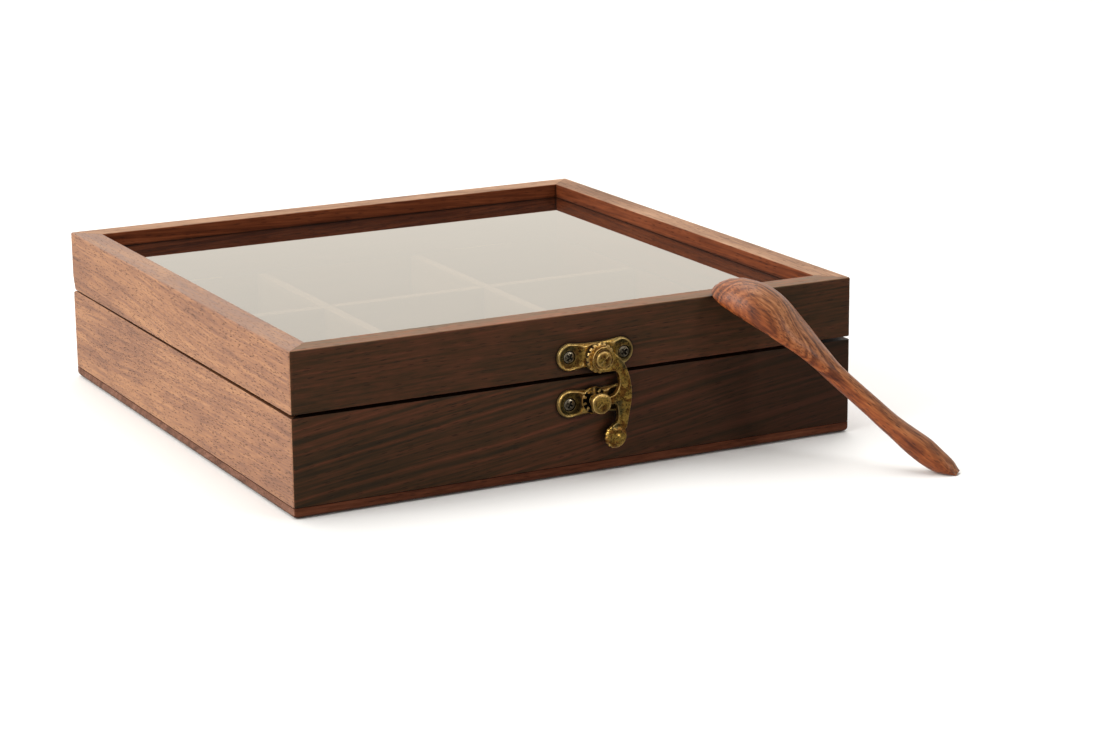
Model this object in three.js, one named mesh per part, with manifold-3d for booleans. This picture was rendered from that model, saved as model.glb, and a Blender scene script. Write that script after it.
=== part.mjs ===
// Square wooden spice box with a glazed, hinged lid, a brass hook latch and a small wooden spoon.
// Millimetres. Origin at the centre of the underside, +X right along the front, +Y to the back, +Z up.
import * as THREE from "three";
import { mergeVertices } from "three/addons/utils/BufferGeometryUtils.js";
import Module from "manifold-3d";

const wasm = await Module();
wasm.setup();

// Driving dimensions
const boxSide = 203.2;
const boxHeight = 53.5;
const wall = 9.1;
const panelThickness = 3.6;
const rimHeight = 32.4; // top of the base boards
const lidUnderside = 33.2;
const jointGap = 0.05; // between planed faces that meet
const mitreGap = 0.06;
const cornerEase = 0.8; // eased vertical corners
const arris = 0.9; // eased long edges
const panelRound = 1.7; // rounded lower edge of the bottom panel

const dividerPitch = 63;
const dividerThickness = 4;
const dividerTop = 32.1;
const dividerEndGap = 0.3;
const lapClearance = 0.12; // each side of a half-lap slot

const glassTop = 48.3;
const glassThickness = 3;
const grooveDepth = 4;
const grooveClearance = 0.1;
const glassEdgeGap = 0.3;

const hingeX = 60; // hinge centres, left and right of the middle
const hingeLength = 26;
const hingeInset = 2.5; // pin axis, in from the back face
const knuckleRadius = 1.9;
const knuckleBore = 0.9;
const hingePinRadius = 0.78;
const knuckleGap = 0.3;
const endKnuckle = 8;
const leafThickness = 0.9;
const leafInner = 8.7; // leaf's inner edge, in from the back face
const leafOuter = 4.7; // leaf's edge beside the barrel
const leafOffset = 0.25; // leaf's inner face from the pin axis
const barrelClearance = 0.25;
const lidBevelHeight = 6; // chamfer that lets the lid lie back
const baseBevelHeight = 1.33;
const hingeScrewX = 8;

const plateThickness = 1.5;
const plateauHeight = 2.5; // raised middle of a latch plate
const latchPivot = { x: 4.95, z: 38.5 };
const armBack = 2.8; // arm's back face, out from the front of the box
const armThickness = 1.9;
const armBore = 1.5;
const knobNeck = 1;
const knob = { x: 9.5, z: 12.3, radius: 3.95, halfThickness: 1.5 };
const armHub = 4.1;
const armOuter = [[10.56, 38.5], [13.15, 34.9], [14.7, 30], [15.1, 25], [14.4, 20.6], [13.2, 15]];
const armCrook = [[8.3, 15.9], [9.9, 17.2], [10.2, 20], [9.8, 22.7]];
const armNib = [[9.2, 23.3], [5.5, 23.5], [5.3, 25.4]];
const armThroat = [[8.6, 26.3], [10.1, 27.8], [10.8, 30.2], [10.3, 33], [9.2, 34.3]];
const post = { x: 2.85, z: 24.7, neck: 1.9, head: 3.35, back: 5.5, front: 7.5 };
const postHead = { edge: 0.9, crown: 0.8, crownDrop: 0.25 };
const postTail = { radius: 1.2, length: 5.5 };
const rivet = { shank: 1.4, head: 2.6, shoulder: 2.1, crown: 1.1 };
const rivetHead = { back: 4.9, shoulder: 5.5, crown: 5.8, front: 5.85 };
const rivetTail = { radius: 2.2, back: 1.3, front: 0.2 };
const tailClearance = { radius: 0.3, depth: 0.3 };
const topPlate = { x0: -9.9, x1: 17.45, z: 39.7, radius: 4.5, waist: 3.8 };
const lowerPlate = { x0: -10, x1: 16.4, z: 24.3, radius: 4.5, waist: 3.8 };
const topScrews = { latch_screw_1: [-5.75, 39.75], latch_screw_2: [14.2, 39.2] };
const lowerScrews = { latch_screw_3: [-5.75, 24.15], latch_screw_4: [12.2, 24.3] };
const latchScrew = { head: 1.85, shank: 0.95, countersink: 1.0, length: 7, depth: plateThickness };
const hingeScrew = { head: 1.3, shank: 0.75, countersink: 0.55, length: 6.5, depth: leafThickness };
const screwRim = 0.12; // straight edge of a countersunk head
const screwTaper = { start: 0.72, tip: 0.5 }; // of the length and of the shank
const countersinkClearance = 0.15;
const pilotClearance = 0.15;

const spoonTip = new THREE.Vector3(104.4, -161.8, 1);
const spoonHeading = new THREE.Vector3(-0.671, 0.742, 0).normalize();
const spoonSlope = THREE.MathUtils.degToRad(33.2);
const spoonRoll = THREE.MathUtils.degToRad(-10);
const spoonWall = 1.7;
const spoonStep = 3.3; // length of one loft step
const spoonSides = 14;
// Stations from the handle's tip to the end of the bowl: s along the spoon, the heights of its
// upper, middle and lower lines, and its half width.
const spoonStations = [
  { s: 0, top: 1.2, mid: 0, low: -1.0, half: 2.2 },
  { s: 6, top: 1.5, mid: -1.7, low: -4.8, half: 3.5 },
  { s: 14, top: 2.3, mid: -1.7, low: -5.7, half: 4.1 },
  { s: 26, top: 2.5, mid: -0.9, low: -4.2, half: 3.8 },
  { s: 40, top: 3.8, mid: 0.6, low: -2.6, half: 3.2 },
  { s: 51, top: 5.1, mid: 2.0, low: -1.4, half: 3.6 },
  { s: 60, top: 6.9, mid: 3.1, low: 1.0, half: 6.0 },
  { s: 69, top: 9.0, mid: 4.0, low: 3.2, half: 8.7 },
  { s: 78, top: 11.9, mid: 3.8, low: 3.4, half: 9.6 },
  { s: 86, top: 12.1, mid: 2.8, low: 2.4, half: 9 },
  { s: 93, top: 9.3, mid: 1.4, low: 1, half: 7.1 },
  { s: 97, top: 5.6, mid: 0.6, low: 0.2, half: 4.4 },
  { s: 98.5, top: 2.4, mid: 0.3, low: -0.1, half: 2.0 },
];
const hollow = { from: 63, to: 95.5 };

// Derived dimensions
const half = boxSide / 2;
const inner = half - wall;
const boardBottom = panelThickness + jointGap;
const hingeY = half - hingeInset;
const hingeZ = (rimHeight + lidUnderside) / 2;
const overshoot = 1; // a cutting tool passes the face that it cuts by this much

const rosewood = { color: 0x4a2f22, roughness: 0.5, metalness: 0 };
const paleWood = { color: 0x9a6a46, roughness: 0.55, metalness: 0 };
const agedBrass = { color: 0xa98a4e, roughness: 0.38, metalness: 0.9 };
const darkBronze = { color: 0x6b5637, roughness: 0.35, metalness: 0.9 };
const paneGlass = { color: 0xe6ebe6, roughness: 0.05, metalness: 0, transparent: true, opacity: 0.35 };

const spiceBox = new THREE.Group();

function addPiece(name, geometry, finish) {
  const piece = new THREE.Mesh(geometry, new THREE.MeshStandardMaterial(finish));
  piece.name = name;
  spiceBox.add(piece);
}

// A closed geometry as a solid that can be joined and cut.
function solidOf(geometry) {
  const bare = geometry.clone();
  bare.deleteAttribute("normal");
  bare.deleteAttribute("uv");
  const merged = mergeVertices(bare, 1e-4);
  return new wasm.Manifold(
    new wasm.Mesh({
      numProp: 3,
      vertProperties: merged.attributes.position.array,
      triVerts: new Uint32Array(merged.index.array),
    }),
  );
}

function geometryOf(solid) {
  const mesh = solid.getMesh();
  const geometry = new THREE.BufferGeometry();
  geometry.setAttribute("position", new THREE.BufferAttribute(mesh.vertProperties, 3));
  geometry.setIndex(new THREE.BufferAttribute(mesh.triVerts, 1));
  return geometry;
}

const cut = (solid, tools) => tools.reduce((left, tool) => left.subtract(tool), solid);

function block(x, y, z) {
  const size = [x, y, z].map(([low, high]) => high - low);
  const centre = [x, y, z].map(([low, high]) => (high + low) / 2);
  return solidOf(new THREE.BoxGeometry(...size).translate(...centre));
}

function rodAlongX(x0, x1, y, z, radius, sides) {
  const rod = new THREE.CylinderGeometry(radius, radius, x1 - x0, sides);
  return rod.rotateZ(Math.PI / 2).translate((x0 + x1) / 2, y, z);
}

function outline(points) {
  return new THREE.Shape(points.map(([x, y]) => new THREE.Vector2(x, y)));
}

function prism(shape, depth, curveSegments = 8) {
  return new THREE.ExtrudeGeometry(shape, { depth, bevelEnabled: false, curveSegments });
}

// Wood. Every rail is drawn as the front one and turned round the middle to its own side.

const turns = { front: 0, right: 1, back: 2, left: 3 };
const turned = (solid, side) => solidOf(geometryOf(solid).rotateZ((turns[side] * Math.PI) / 2));

// The plan of a mitred front rail, with half of each eased corner.
function railPlan(height) {
  const points = [
    [half - cornerEase, -half],
    [half - cornerEase / 2 - mitreGap, -half + cornerEase / 2],
    [inner - mitreGap, -inner],
  ];
  const mirrored = points.map(([x, y]) => [-x, y]).reverse();
  return solidOf(prism(outline([...points, ...mirrored]), height + 2 * overshoot));
}

// Lays a section drawn as Y and Z along X, over the whole width of the box.
function alongWidth(section, curveSegments) {
  const bar = prism(section, boxSide, curveSegments);
  const [across, up, length] = [[0, 1, 0], [0, 0, 1], [1, 0, 0]].map((axis) => new THREE.Vector3(...axis));
  bar.applyMatrix4(new THREE.Matrix4().makeBasis(across, up, length));
  return solidOf(bar.translate(-half, 0, 0));
}

// A mitred front rail. Its upper edges are eased, and its lower outer edge when asked.
function mitredRail(bottom, top, lowerEase) {
  const section = new THREE.Shape();
  section.moveTo(-inner, bottom);
  section.lineTo(-inner, top - arris / 2);
  section.quadraticCurveTo(-inner, top, -inner - arris / 2, top);
  section.lineTo(-half + arris, top);
  section.quadraticCurveTo(-half, top, -half, top - arris);
  section.lineTo(-half, bottom + lowerEase);
  section.quadraticCurveTo(-half, bottom, -half + lowerEase, bottom);
  section.closePath();
  const plan = railPlan(top - bottom);
  return alongWidth(section, 3).intersect(plan.translate([0, 0, bottom - overshoot]));
}

// The wedge taken off a back edge, from the pin axis out to the back face, so that the lid lies back.
function backBevel(edge, rise) {
  const slope = rise / hingeInset;
  const outer = hingeInset + overshoot;
  const points = [[hingeY, edge], [hingeY + outer, edge + slope * outer], [hingeY + outer, edge - rise]];
  const lower = [hingeY, edge - rise];
  return alongWidth(outline(rise > 0 ? [lower, ...points.reverse()] : [lower, ...points].reverse()), 1);
}

function bottomPanel() {
  const section = new THREE.Shape();
  section.moveTo(-half, panelThickness);
  section.lineTo(-half, panelRound);
  section.quadraticCurveTo(-half, 0, -half + panelRound, 0);
  section.lineTo(half - panelRound, 0);
  section.quadraticCurveTo(half, 0, half, panelRound);
  section.lineTo(half, panelThickness);
  section.closePath();
  const alongX = alongWidth(section, 4);
  return alongX.intersect(turned(alongX, "right"));
}

// Half-lapped dividers: the pair along X is slotted from above, the pair along Y from below.
function divider(offset, slottedFromAbove) {
  const length = inner - dividerEndGap;
  const t = dividerThickness / 2;
  const strip = block([-length, length], [offset - t, offset + t], [boardBottom, dividerTop]);
  const middle = (boardBottom + dividerTop) / 2;
  const slotZ = slottedFromAbove
    ? [middle - lapClearance, dividerTop + overshoot]
    : [boardBottom - overshoot, middle + lapClearance];
  const slotHalf = t + lapClearance;
  const slots = [-1, 1].map((side) => {
    const x = (side * dividerPitch) / 2;
    return block([x - slotHalf, x + slotHalf], [offset - t - overshoot, offset + t + overshoot], slotZ);
  });
  return cut(strip, slots);
}

// A turned body from radius and height pairs, upright on Z.
function turnedOnZ(profile, sides) {
  const points = profile.map(([r, z]) => new THREE.Vector2(r, z));
  return new THREE.LatheGeometry(points, sides).rotateX(Math.PI / 2);
}

// Wood screws, drawn with the head's top at height 0 and the shank down -Z.
function screwGeometry({ head, shank, countersink, length }, sides) {
  const profile = [
    [0, -length],
    [shank * screwTaper.tip, -length],
    [shank, -length * screwTaper.start],
    [shank, -countersink],
    [head, -screwRim],
    [head, 0],
    [0, 0],
  ];
  return turnedOnZ(profile, sides);
}

// The hole that such a screw needs: a countersink through the plate.
function screwHole({ head, shank, countersink, depth }, sides) {
  const c = countersinkClearance;
  const profile = [
    [0, -depth - overshoot],
    [shank + c, -depth - overshoot],
    [shank + c, -countersink],
    [head + c, -screwRim],
    [head + c, overshoot],
    [0, overshoot],
  ];
  return turnedOnZ(profile, sides);
}

function pilotHole({ shank, length }, sides) {
  const depth = length + pilotClearance;
  const hole = new THREE.CylinderGeometry(shank + pilotClearance, shank + pilotClearance, depth, sides);
  return hole.rotateX(Math.PI / 2).translate(0, 0, -depth / 2);
}

// Hinges. Each leaf is drawn for the base and mirrored in the pin's height for the lid.

const leafScrewY = half - (leafInner + leafOuter) / 2;
const leafFace = hingeZ - leafOffset;
const screwSides = 12;

function hingeLeaf(centre, ofLid) {
  const bottom = leafFace - leafThickness;
  const x0 = centre - hingeLength / 2;
  const x1 = centre + hingeLength / 2;
  const plate = block([x0, x1], [half - leafInner, half - leafOuter], [bottom, leafFace]);
  const middle = hingeLength / 2 - endKnuckle - knuckleGap;
  const spans = ofLid
    ? [[centre - middle, centre + middle]]
    : [[x0, x0 + endKnuckle], [x1 - endKnuckle, x1]];
  let leaf = plate;
  for (const [low, high] of spans) {
    leaf = leaf.add(block([low, high], [half - leafOuter - overshoot, hingeY], [bottom, leafFace]));
    leaf = leaf.add(solidOf(rodAlongX(low, high, hingeY, hingeZ, knuckleRadius, 20)));
  }
  const bore = solidOf(rodAlongX(x0 - overshoot, x1 + overshoot, hingeY, hingeZ, knuckleBore, 16));
  const holes = [-1, 1].map((side) => {
    const hole = screwHole(hingeScrew, screwSides);
    return solidOf(hole.translate(centre + side * hingeScrewX, leafScrewY, leafFace));
  });
  return cut(leaf, [bore, ...holes]);
}

const mirroredInPin = (solid) => solid.mirror([0, 0, 1]).translate([0, 0, 2 * hingeZ]);

// What one hinge takes out of the base's back board: the leaf's bed, the barrel's trough, the pilots.
function hingeRecess(centre) {
  const reach = hingeLength / 2 + knuckleGap;
  const bed = block(
    [centre - reach, centre + reach],
    [half - leafInner - jointGap * 2, hingeY],
    [leafFace - leafThickness - jointGap, hingeZ],
  );
  const barrel = knuckleRadius + barrelClearance;
  const trough = solidOf(rodAlongX(centre - reach, centre + reach, hingeY, hingeZ, barrel, 20));
  const pilots = [-1, 1].map((side) => {
    const hole = pilotHole(hingeScrew, screwSides);
    return solidOf(hole.translate(centre + side * hingeScrewX, leafScrewY, leafFace));
  });
  return [bed, trough, ...pilots];
}

// Latch. Its pieces are drawn face on, x to the right and z up, and stand out from the front.

// Turns a shape drawn in x and y, and rising in +Z, to face the front with its back at the offset.
const onFront = (geometry, offset) => geometry.rotateX(Math.PI / 2).translate(0, -half - offset, 0);

// A plate with round ends that narrows to a waist between them.
function plateOutline({ x0, x1, z, radius, waist }, inset = 0) {
  const r = radius - inset;
  const left = x0 + radius;
  const right = x1 - radius;
  const dip = waist - inset;
  const quarter = Math.PI / 2;
  const shape = new THREE.Shape();
  shape.absarc(left, z, r, quarter, 3 * quarter, false);
  shape.quadraticCurveTo((left + right) / 2, z - 2 * dip + r, right, z - r);
  shape.absarc(right, z, r, -quarter, quarter, false);
  shape.quadraticCurveTo((left + right) / 2, z + 2 * dip - r, left, z + r);
  return shape;
}

const rimInset = 0.9;
const screwDish = 3.3;

// A latch plate: a flat ground, a raised middle that stops short of the screws, and its holes.
function latchPlate(plan, screws, bore) {
  const ground = solidOf(prism(plateOutline(plan), plateThickness, 8));
  const centres = Object.values(screws);
  const [first, last] = centres.map(([x]) => x);
  const between = block(
    [first + screwDish, last - screwDish],
    [plan.z - 2 * plan.radius, plan.z + 2 * plan.radius],
    [plateThickness / 2, 2 * plateauHeight],
  );
  const plateau = solidOf(prism(plateOutline(plan, rimInset), plateauHeight, 8)).intersect(between);
  const holes = centres.map(([x, z]) => {
    return solidOf(screwHole(latchScrew, screwSides).translate(x, z, plateThickness));
  });
  const through = new THREE.CylinderGeometry(bore.radius, bore.radius, 4 * plateauHeight, screwSides);
  holes.push(solidOf(through.rotateX(Math.PI / 2).translate(bore.x, bore.z, 0)));
  return geometryOf(cut(ground.add(plateau), holes));
}

// The hooked arm: a hub on the rivet, a curved shank with a nib on its inner side, and a knob.
function armOutline() {
  const { x, z } = latchPivot;
  const vectors = (points) => points.map(([px, pz]) => new THREE.Vector2(px, pz));
  const shape = new THREE.Shape();
  shape.absarc(x, z, armHub, 1.5 * Math.PI, 0.42 * Math.PI, true);
  shape.splineThru(vectors(armOuter));
  shape.lineTo(knob.x + knobNeck, knob.z);
  shape.lineTo(knob.x - knobNeck, knob.z);
  shape.splineThru(vectors(armCrook));
  armNib.forEach(([px, pz]) => shape.lineTo(px, pz));
  shape.splineThru(vectors(armThroat));
  return shape;
}

function latchArm() {
  const shank = solidOf(prism(armOutline(), armThickness, 5));
  const ball = new THREE.SphereGeometry(knob.radius, 16, 8);
  ball.scale(1, 1, knob.halfThickness / knob.radius);
  ball.translate(knob.x, knob.z, armThickness / 2);
  const bore = new THREE.CylinderGeometry(armBore, armBore, 4 * armThickness, screwSides);
  bore.rotateX(Math.PI / 2).translate(latchPivot.x, latchPivot.z, 0);
  return geometryOf(shank.add(solidOf(ball)).subtract(solidOf(bore)));
}

// A turned pin given as radius and offset pairs from its back end to its front.
function turnedPin(profile, x, z, sides = 16) {
  return onFront(turnedOnZ(profile, sides).translate(x, z, 0), 0);
}

const rivetProfile = [
  [0, -rivetTail.back],
  [rivetTail.radius, -rivetTail.back],
  [rivetTail.radius, -rivetTail.front],
  [rivet.shank, -rivetTail.front],
  [rivet.shank, rivetHead.back],
  [rivet.head, rivetHead.back],
  [rivet.shoulder, rivetHead.shoulder],
  [rivet.crown, rivetHead.crown],
  [0, rivetHead.front],
];
const postProfile = [
  [0, -postTail.length],
  [postTail.radius, -postTail.length],
  [postTail.radius, plateauHeight + jointGap * 2],
  [post.neck, plateauHeight + jointGap * 2],
  [post.neck, post.back],
  [post.head, post.back],
  [post.head, post.back + postHead.edge],
  [post.head * postHead.crown, post.front - postHead.crownDrop],
  [0, post.front],
];

// A round hole into the front of the box, from its face to the depth given.
function frontHole(x, z, radius, depth) {
  const hole = new THREE.CylinderGeometry(radius, radius, depth + overshoot, screwSides);
  hole.rotateX(Math.PI / 2).translate(x, z, (overshoot - depth) / 2);
  return solidOf(onFront(hole, 0));
}

const latchPilot = latchScrew.length - plateThickness + pilotClearance;
const pilotHoles = (screws) =>
  Object.values(screws).map(([x, z]) => {
    return frontHole(x, z, latchScrew.shank + pilotClearance, latchPilot);
  });

// Spoon. Its body is lofted through rings that follow the stations.

// The stations' values at a length s, on a smooth curve through them.
function stationAt(s) {
  const last = spoonStations.length - 2;
  const found = spoonStations.findIndex((station) => station.s > s) - 1;
  const i = Math.min(found < 0 ? last : found, last);
  const near = (k) => spoonStations[THREE.MathUtils.clamp(k, 0, last + 1)];
  const t = (s - near(i).s) / (near(i + 1).s - near(i).s);
  const value = (key) => {
    const [a, b, c, d] = [-1, 0, 1, 2].map((k) => near(i + k)[key]);
    return b + 0.5 * t * (c - a + t * (2 * a - 5 * b + 4 * c - d + t * (3 * (b - c) + d - a)));
  };
  return { top: value("top"), mid: value("mid"), low: value("low"), half: value("half") };
}

// A closed body through rings in the planes across its length.
function loft(rings) {
  const sides = rings[0].length;
  const positions = rings.flat();
  const faces = [];
  for (let ring = 0; ring < rings.length - 1; ring += 1) {
    for (let k = 0; k < sides; k += 1) {
      const a = ring * sides + k;
      const b = ring * sides + ((k + 1) % sides);
      faces.push(a, b, a + sides, b, b + sides, a + sides);
    }
  }
  for (let k = 1; k < sides - 1; k += 1) {
    const end = (rings.length - 1) * sides;
    faces.push(0, k + 1, k, end, end + k, end + k + 1);
  }
  const geometry = new THREE.BufferGeometry();
  geometry.setAttribute("position", new THREE.Float32BufferAttribute(positions.flat(), 3));
  geometry.setIndex(faces);
  return geometry;
}

function spoonRings(from, to, thinner) {
  const steps = Math.round((to - from) / spoonStep);
  return Array.from({ length: steps + 1 }, (_, step) => {
    const s = from + ((to - from) * step) / steps;
    const { top, mid, low, half: width } = stationAt(s);
    return Array.from({ length: spoonSides }, (__, k) => {
      const angle = (2 * Math.PI * (k + 0.5)) / spoonSides;
      const rise = Math.sin(angle) > 0 ? top - thinner - mid : mid - low + 2 * thinner;
      return [s, mid + rise * Math.sin(angle), -(width - thinner) * Math.cos(angle)];
    });
  });
}

function spoon() {
  const length = spoonStations[spoonStations.length - 1].s;
  const body = solidOf(loft(spoonRings(0, length, 0)));
  const carved = body.subtract(solidOf(loft(spoonRings(hollow.from, hollow.to, spoonWall))));
  const along = spoonHeading.clone().multiplyScalar(Math.cos(spoonSlope));
  along.z = Math.sin(spoonSlope);
  const across = new THREE.Vector3(spoonHeading.y, -spoonHeading.x, 0);
  const up = across.clone().cross(along);
  const place = new THREE.Matrix4().makeBasis(along, up, across).setPosition(spoonTip);
  return geometryOf(carved).rotateX(spoonRoll).applyMatrix4(place);
}

// Assembly

function buildBase() {
  addPiece("bottom_panel", geometryOf(bottomPanel()), rosewood);
  const board = mitredRail(boardBottom, rimHeight, 0);
  const latchHoles = [
    ...pilotHoles(lowerScrews),
    frontHole(post.x, post.z, postTail.radius + pilotClearance, postTail.length + pilotClearance),
  ];
  const bevel = backBevel(rimHeight, -baseBevelHeight);
  const cuts = {
    front: latchHoles,
    right: [bevel],
    back: [bevel, ...[-hingeX, hingeX].flatMap(hingeRecess)],
    left: [bevel],
  };
  Object.entries(cuts).forEach(([side, tools]) => {
    addPiece(`base_${side}_board`, geometryOf(cut(turned(board, side), tools)), rosewood);
  });
}

function buildDividers() {
  [-1, 1].forEach((side, index) => {
    const offset = (side * dividerPitch) / 2;
    const quarter = Math.PI / 2;
    addPiece(`divider_lengthwise_${index + 1}`, geometryOf(divider(offset, true)), paleWood);
    const crossing = geometryOf(divider(-offset, false)).rotateZ(quarter);
    addPiece(`divider_crosswise_${index + 1}`, crossing, paleWood);
  });
}

function buildLid() {
  const groove = block(
    [-half, half],
    [-inner - grooveDepth, -inner + overshoot],
    [glassTop - glassThickness - grooveClearance, glassTop + grooveClearance],
  );
  const rail = mitredRail(lidUnderside, boxHeight, arris).subtract(groove);
  const latchHoles = [
    ...pilotHoles(topScrews),
    frontHole(
      latchPivot.x,
      latchPivot.z,
      rivetTail.radius + tailClearance.radius,
      rivetTail.back + tailClearance.depth,
    ),
  ];
  const bevel = backBevel(lidUnderside, lidBevelHeight);
  const cuts = {
    front: latchHoles,
    right: [bevel],
    back: [bevel, ...[-hingeX, hingeX].flatMap(hingeRecess).map(mirroredInPin)],
    left: [bevel],
  };
  Object.entries(cuts).forEach(([side, tools]) => {
    addPiece(`lid_${side}_rail`, geometryOf(cut(turned(rail, side), tools)), rosewood);
  });
  const pane = inner + grooveDepth - glassEdgeGap;
  const glass = block([-pane, pane], [-pane, pane], [glassTop - glassThickness, glassTop]);
  addPiece("lid_glass", geometryOf(glass), paneGlass);
}

function buildHinges() {
  Object.entries({ left: -hingeX, right: hingeX }).forEach(([side, centre]) => {
    const lidLeaf = mirroredInPin(hingeLeaf(centre, true));
    const reach = hingeLength / 2;
    addPiece(`hinge_${side}_base_leaf`, geometryOf(hingeLeaf(centre, false)), agedBrass);
    addPiece(`hinge_${side}_lid_leaf`, geometryOf(lidLeaf), agedBrass);
    const pin = rodAlongX(centre - reach, centre + reach, hingeY, hingeZ, hingePinRadius, 16);
    addPiece(`hinge_${side}_pin`, pin, agedBrass);
    [-1, 1].forEach((end, index) => {
      const screw = screwGeometry(hingeScrew, screwSides);
      screw.translate(centre + end * hingeScrewX, leafScrewY, leafFace);
      const upper = geometryOf(mirroredInPin(solidOf(screw)));
      addPiece(`hinge_${side}_base_screw_${index + 1}`, screw, darkBronze);
      addPiece(`hinge_${side}_lid_screw_${index + 1}`, upper, darkBronze);
    });
  });
}

function buildLatch() {
  const rivetBore = { x: latchPivot.x, z: latchPivot.z, radius: armBore };
  const postBore = { x: post.x, z: post.z, radius: postTail.radius + pilotClearance };
  addPiece("latch_top_plate", onFront(latchPlate(topPlate, topScrews, rivetBore), jointGap), agedBrass);
  addPiece("latch_lower_plate", onFront(latchPlate(lowerPlate, lowerScrews, postBore), jointGap), agedBrass);
  addPiece("latch_arm", onFront(latchArm(), armBack), agedBrass);
  addPiece("latch_rivet", turnedPin(rivetProfile, latchPivot.x, latchPivot.z), agedBrass);
  addPiece("latch_post", turnedPin(postProfile, post.x, post.z), agedBrass);
  Object.entries({ ...topScrews, ...lowerScrews }).forEach(([name, [x, z]]) => {
    const screw = screwGeometry(latchScrew, screwSides).translate(x, z, 0);
    addPiece(name, onFront(screw, plateThickness), darkBronze);
  });
}

buildBase();
buildDividers();
buildLid();
buildHinges();
buildLatch();
addPiece("spoon", spoon(), paleWood);

export default spiceBox;
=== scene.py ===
import math

import bmesh
import bpy
from mathutils import Matrix, Vector, noise


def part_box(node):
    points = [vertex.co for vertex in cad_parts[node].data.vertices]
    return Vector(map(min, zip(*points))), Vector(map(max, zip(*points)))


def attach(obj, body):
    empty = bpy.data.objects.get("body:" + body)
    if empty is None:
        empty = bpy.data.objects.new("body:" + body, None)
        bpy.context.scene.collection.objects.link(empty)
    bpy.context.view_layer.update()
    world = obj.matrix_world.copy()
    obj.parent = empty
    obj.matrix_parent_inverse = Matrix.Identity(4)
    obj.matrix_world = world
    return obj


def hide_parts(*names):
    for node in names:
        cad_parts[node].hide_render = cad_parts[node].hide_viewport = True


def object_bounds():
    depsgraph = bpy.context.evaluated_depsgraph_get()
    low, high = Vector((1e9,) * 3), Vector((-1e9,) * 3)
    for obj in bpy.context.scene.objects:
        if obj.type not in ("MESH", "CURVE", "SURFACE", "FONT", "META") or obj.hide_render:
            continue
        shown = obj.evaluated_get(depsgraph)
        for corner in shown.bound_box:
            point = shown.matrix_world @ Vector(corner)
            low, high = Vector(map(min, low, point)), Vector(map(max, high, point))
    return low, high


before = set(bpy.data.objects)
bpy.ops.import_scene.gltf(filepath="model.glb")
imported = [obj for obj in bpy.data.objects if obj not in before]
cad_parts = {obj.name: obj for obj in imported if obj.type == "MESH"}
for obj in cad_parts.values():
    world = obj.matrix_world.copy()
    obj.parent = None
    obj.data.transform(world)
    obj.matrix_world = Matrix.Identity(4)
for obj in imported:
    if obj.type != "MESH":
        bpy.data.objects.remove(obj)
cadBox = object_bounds()
mm = 0.001
metresToMm = (1 / mm, 1 / mm, 1 / mm)

print("frame loaded:", len(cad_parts), "nodes")


def addNode(tree, kind, inputs=None, **settings):
    node = tree.nodes.new(kind)
    for key, value in settings.items():
        setattr(node, key, value)
    for key, value in (inputs or {}).items():
        socket = node.inputs[key]
        if isinstance(value, bpy.types.NodeSocket):
            tree.links.new(value, socket)
        else:
            socket.default_value = value
    return node


def sums(tree, operation, first, second, clamp=False):
    node = addNode(tree, "ShaderNodeMath", {0: first, 1: second}, operation=operation, use_clamp=clamp)
    return node.outputs[0]


def stretch(tree, vector, scale):
    node = addNode(tree, "ShaderNodeVectorMath", {0: vector, 1: scale}, operation="MULTIPLY")
    return node.outputs[0]


def remap(tree, value, low, high, toLow=0.0, toHigh=1.0):
    inputs = {"Value": value, "From Min": low, "From Max": high, "To Min": toLow, "To Max": toHigh}
    return addNode(tree, "ShaderNodeMapRange", inputs, interpolation_type="SMOOTHSTEP").outputs[0]


def blendColours(tree, factor, first, second, kind="MIX"):
    node = addNode(tree, "ShaderNodeMix", None, data_type="RGBA", blend_type=kind)
    for socket, value in ((node.inputs[0], factor), (node.inputs[6], first), (node.inputs[7], second)):
        if isinstance(value, bpy.types.NodeSocket):
            tree.links.new(value, socket)
        else:
            socket.default_value = value
    return node.outputs[2]


def ramp(tree, value, stops):
    node = addNode(tree, "ShaderNodeValToRGB", {"Fac": value})
    elements = node.color_ramp.elements
    while len(elements) < len(stops):
        elements.new(0.5)
    for element, (place, colour) in zip(elements, stops):
        element.position = place
        element.color = (*colour, 1)
    return node.outputs["Color"]


def speckle(tree, vector, scale, detail=3.0, roughness=0.55):
    inputs = {"Vector": stretch(tree, vector, scale), "Scale": 1.0, "Detail": detail, "Roughness": roughness}
    return addNode(tree, "ShaderNodeTexNoise", inputs)


# Painted shade: how hemmed in a face is, the most beside other faces, none where it lies open
def shadeByOcclusion(tree, reach, span, most=1.0, own=False):
    node = addNode(tree, "ShaderNodeAmbientOcclusion", {"Distance": reach}, samples=8, only_local=own)
    return remap(tree, node.outputs["AO"], *span, most, 0)


def newMaterial(name):
    material = bpy.data.materials.new(name)
    material.use_nodes = True
    tree = material.node_tree
    tree.nodes.clear()
    output = addNode(tree, "ShaderNodeOutputMaterial")
    return material, tree, output


def addPiece(name, mesh, body, material, hides=(), place=None, sharpAngle=35, planed=False):
    piece = bpy.data.objects.new(name, mesh)
    bpy.context.scene.collection.objects.link(piece)
    if place is not None:
        piece.matrix_world = place
    mesh.materials.clear()
    mesh.materials.append(material)
    mesh.shade_smooth()
    mesh.set_sharp_from_angle(angle=math.radians(sharpAngle))
    if planed:
        flat = piece.modifiers.new("flat_faces", "WEIGHTED_NORMAL")
        flat.keep_sharp = True
    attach(piece, body)
    if hides:
        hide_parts(*hides)
    return piece


def meshFrom(bm, name):
    bmesh.ops.recalc_face_normals(bm, faces=bm.faces)
    mesh = bpy.data.meshes.new(name)
    bm.to_mesh(mesh)
    bm.free()
    return mesh


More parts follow.
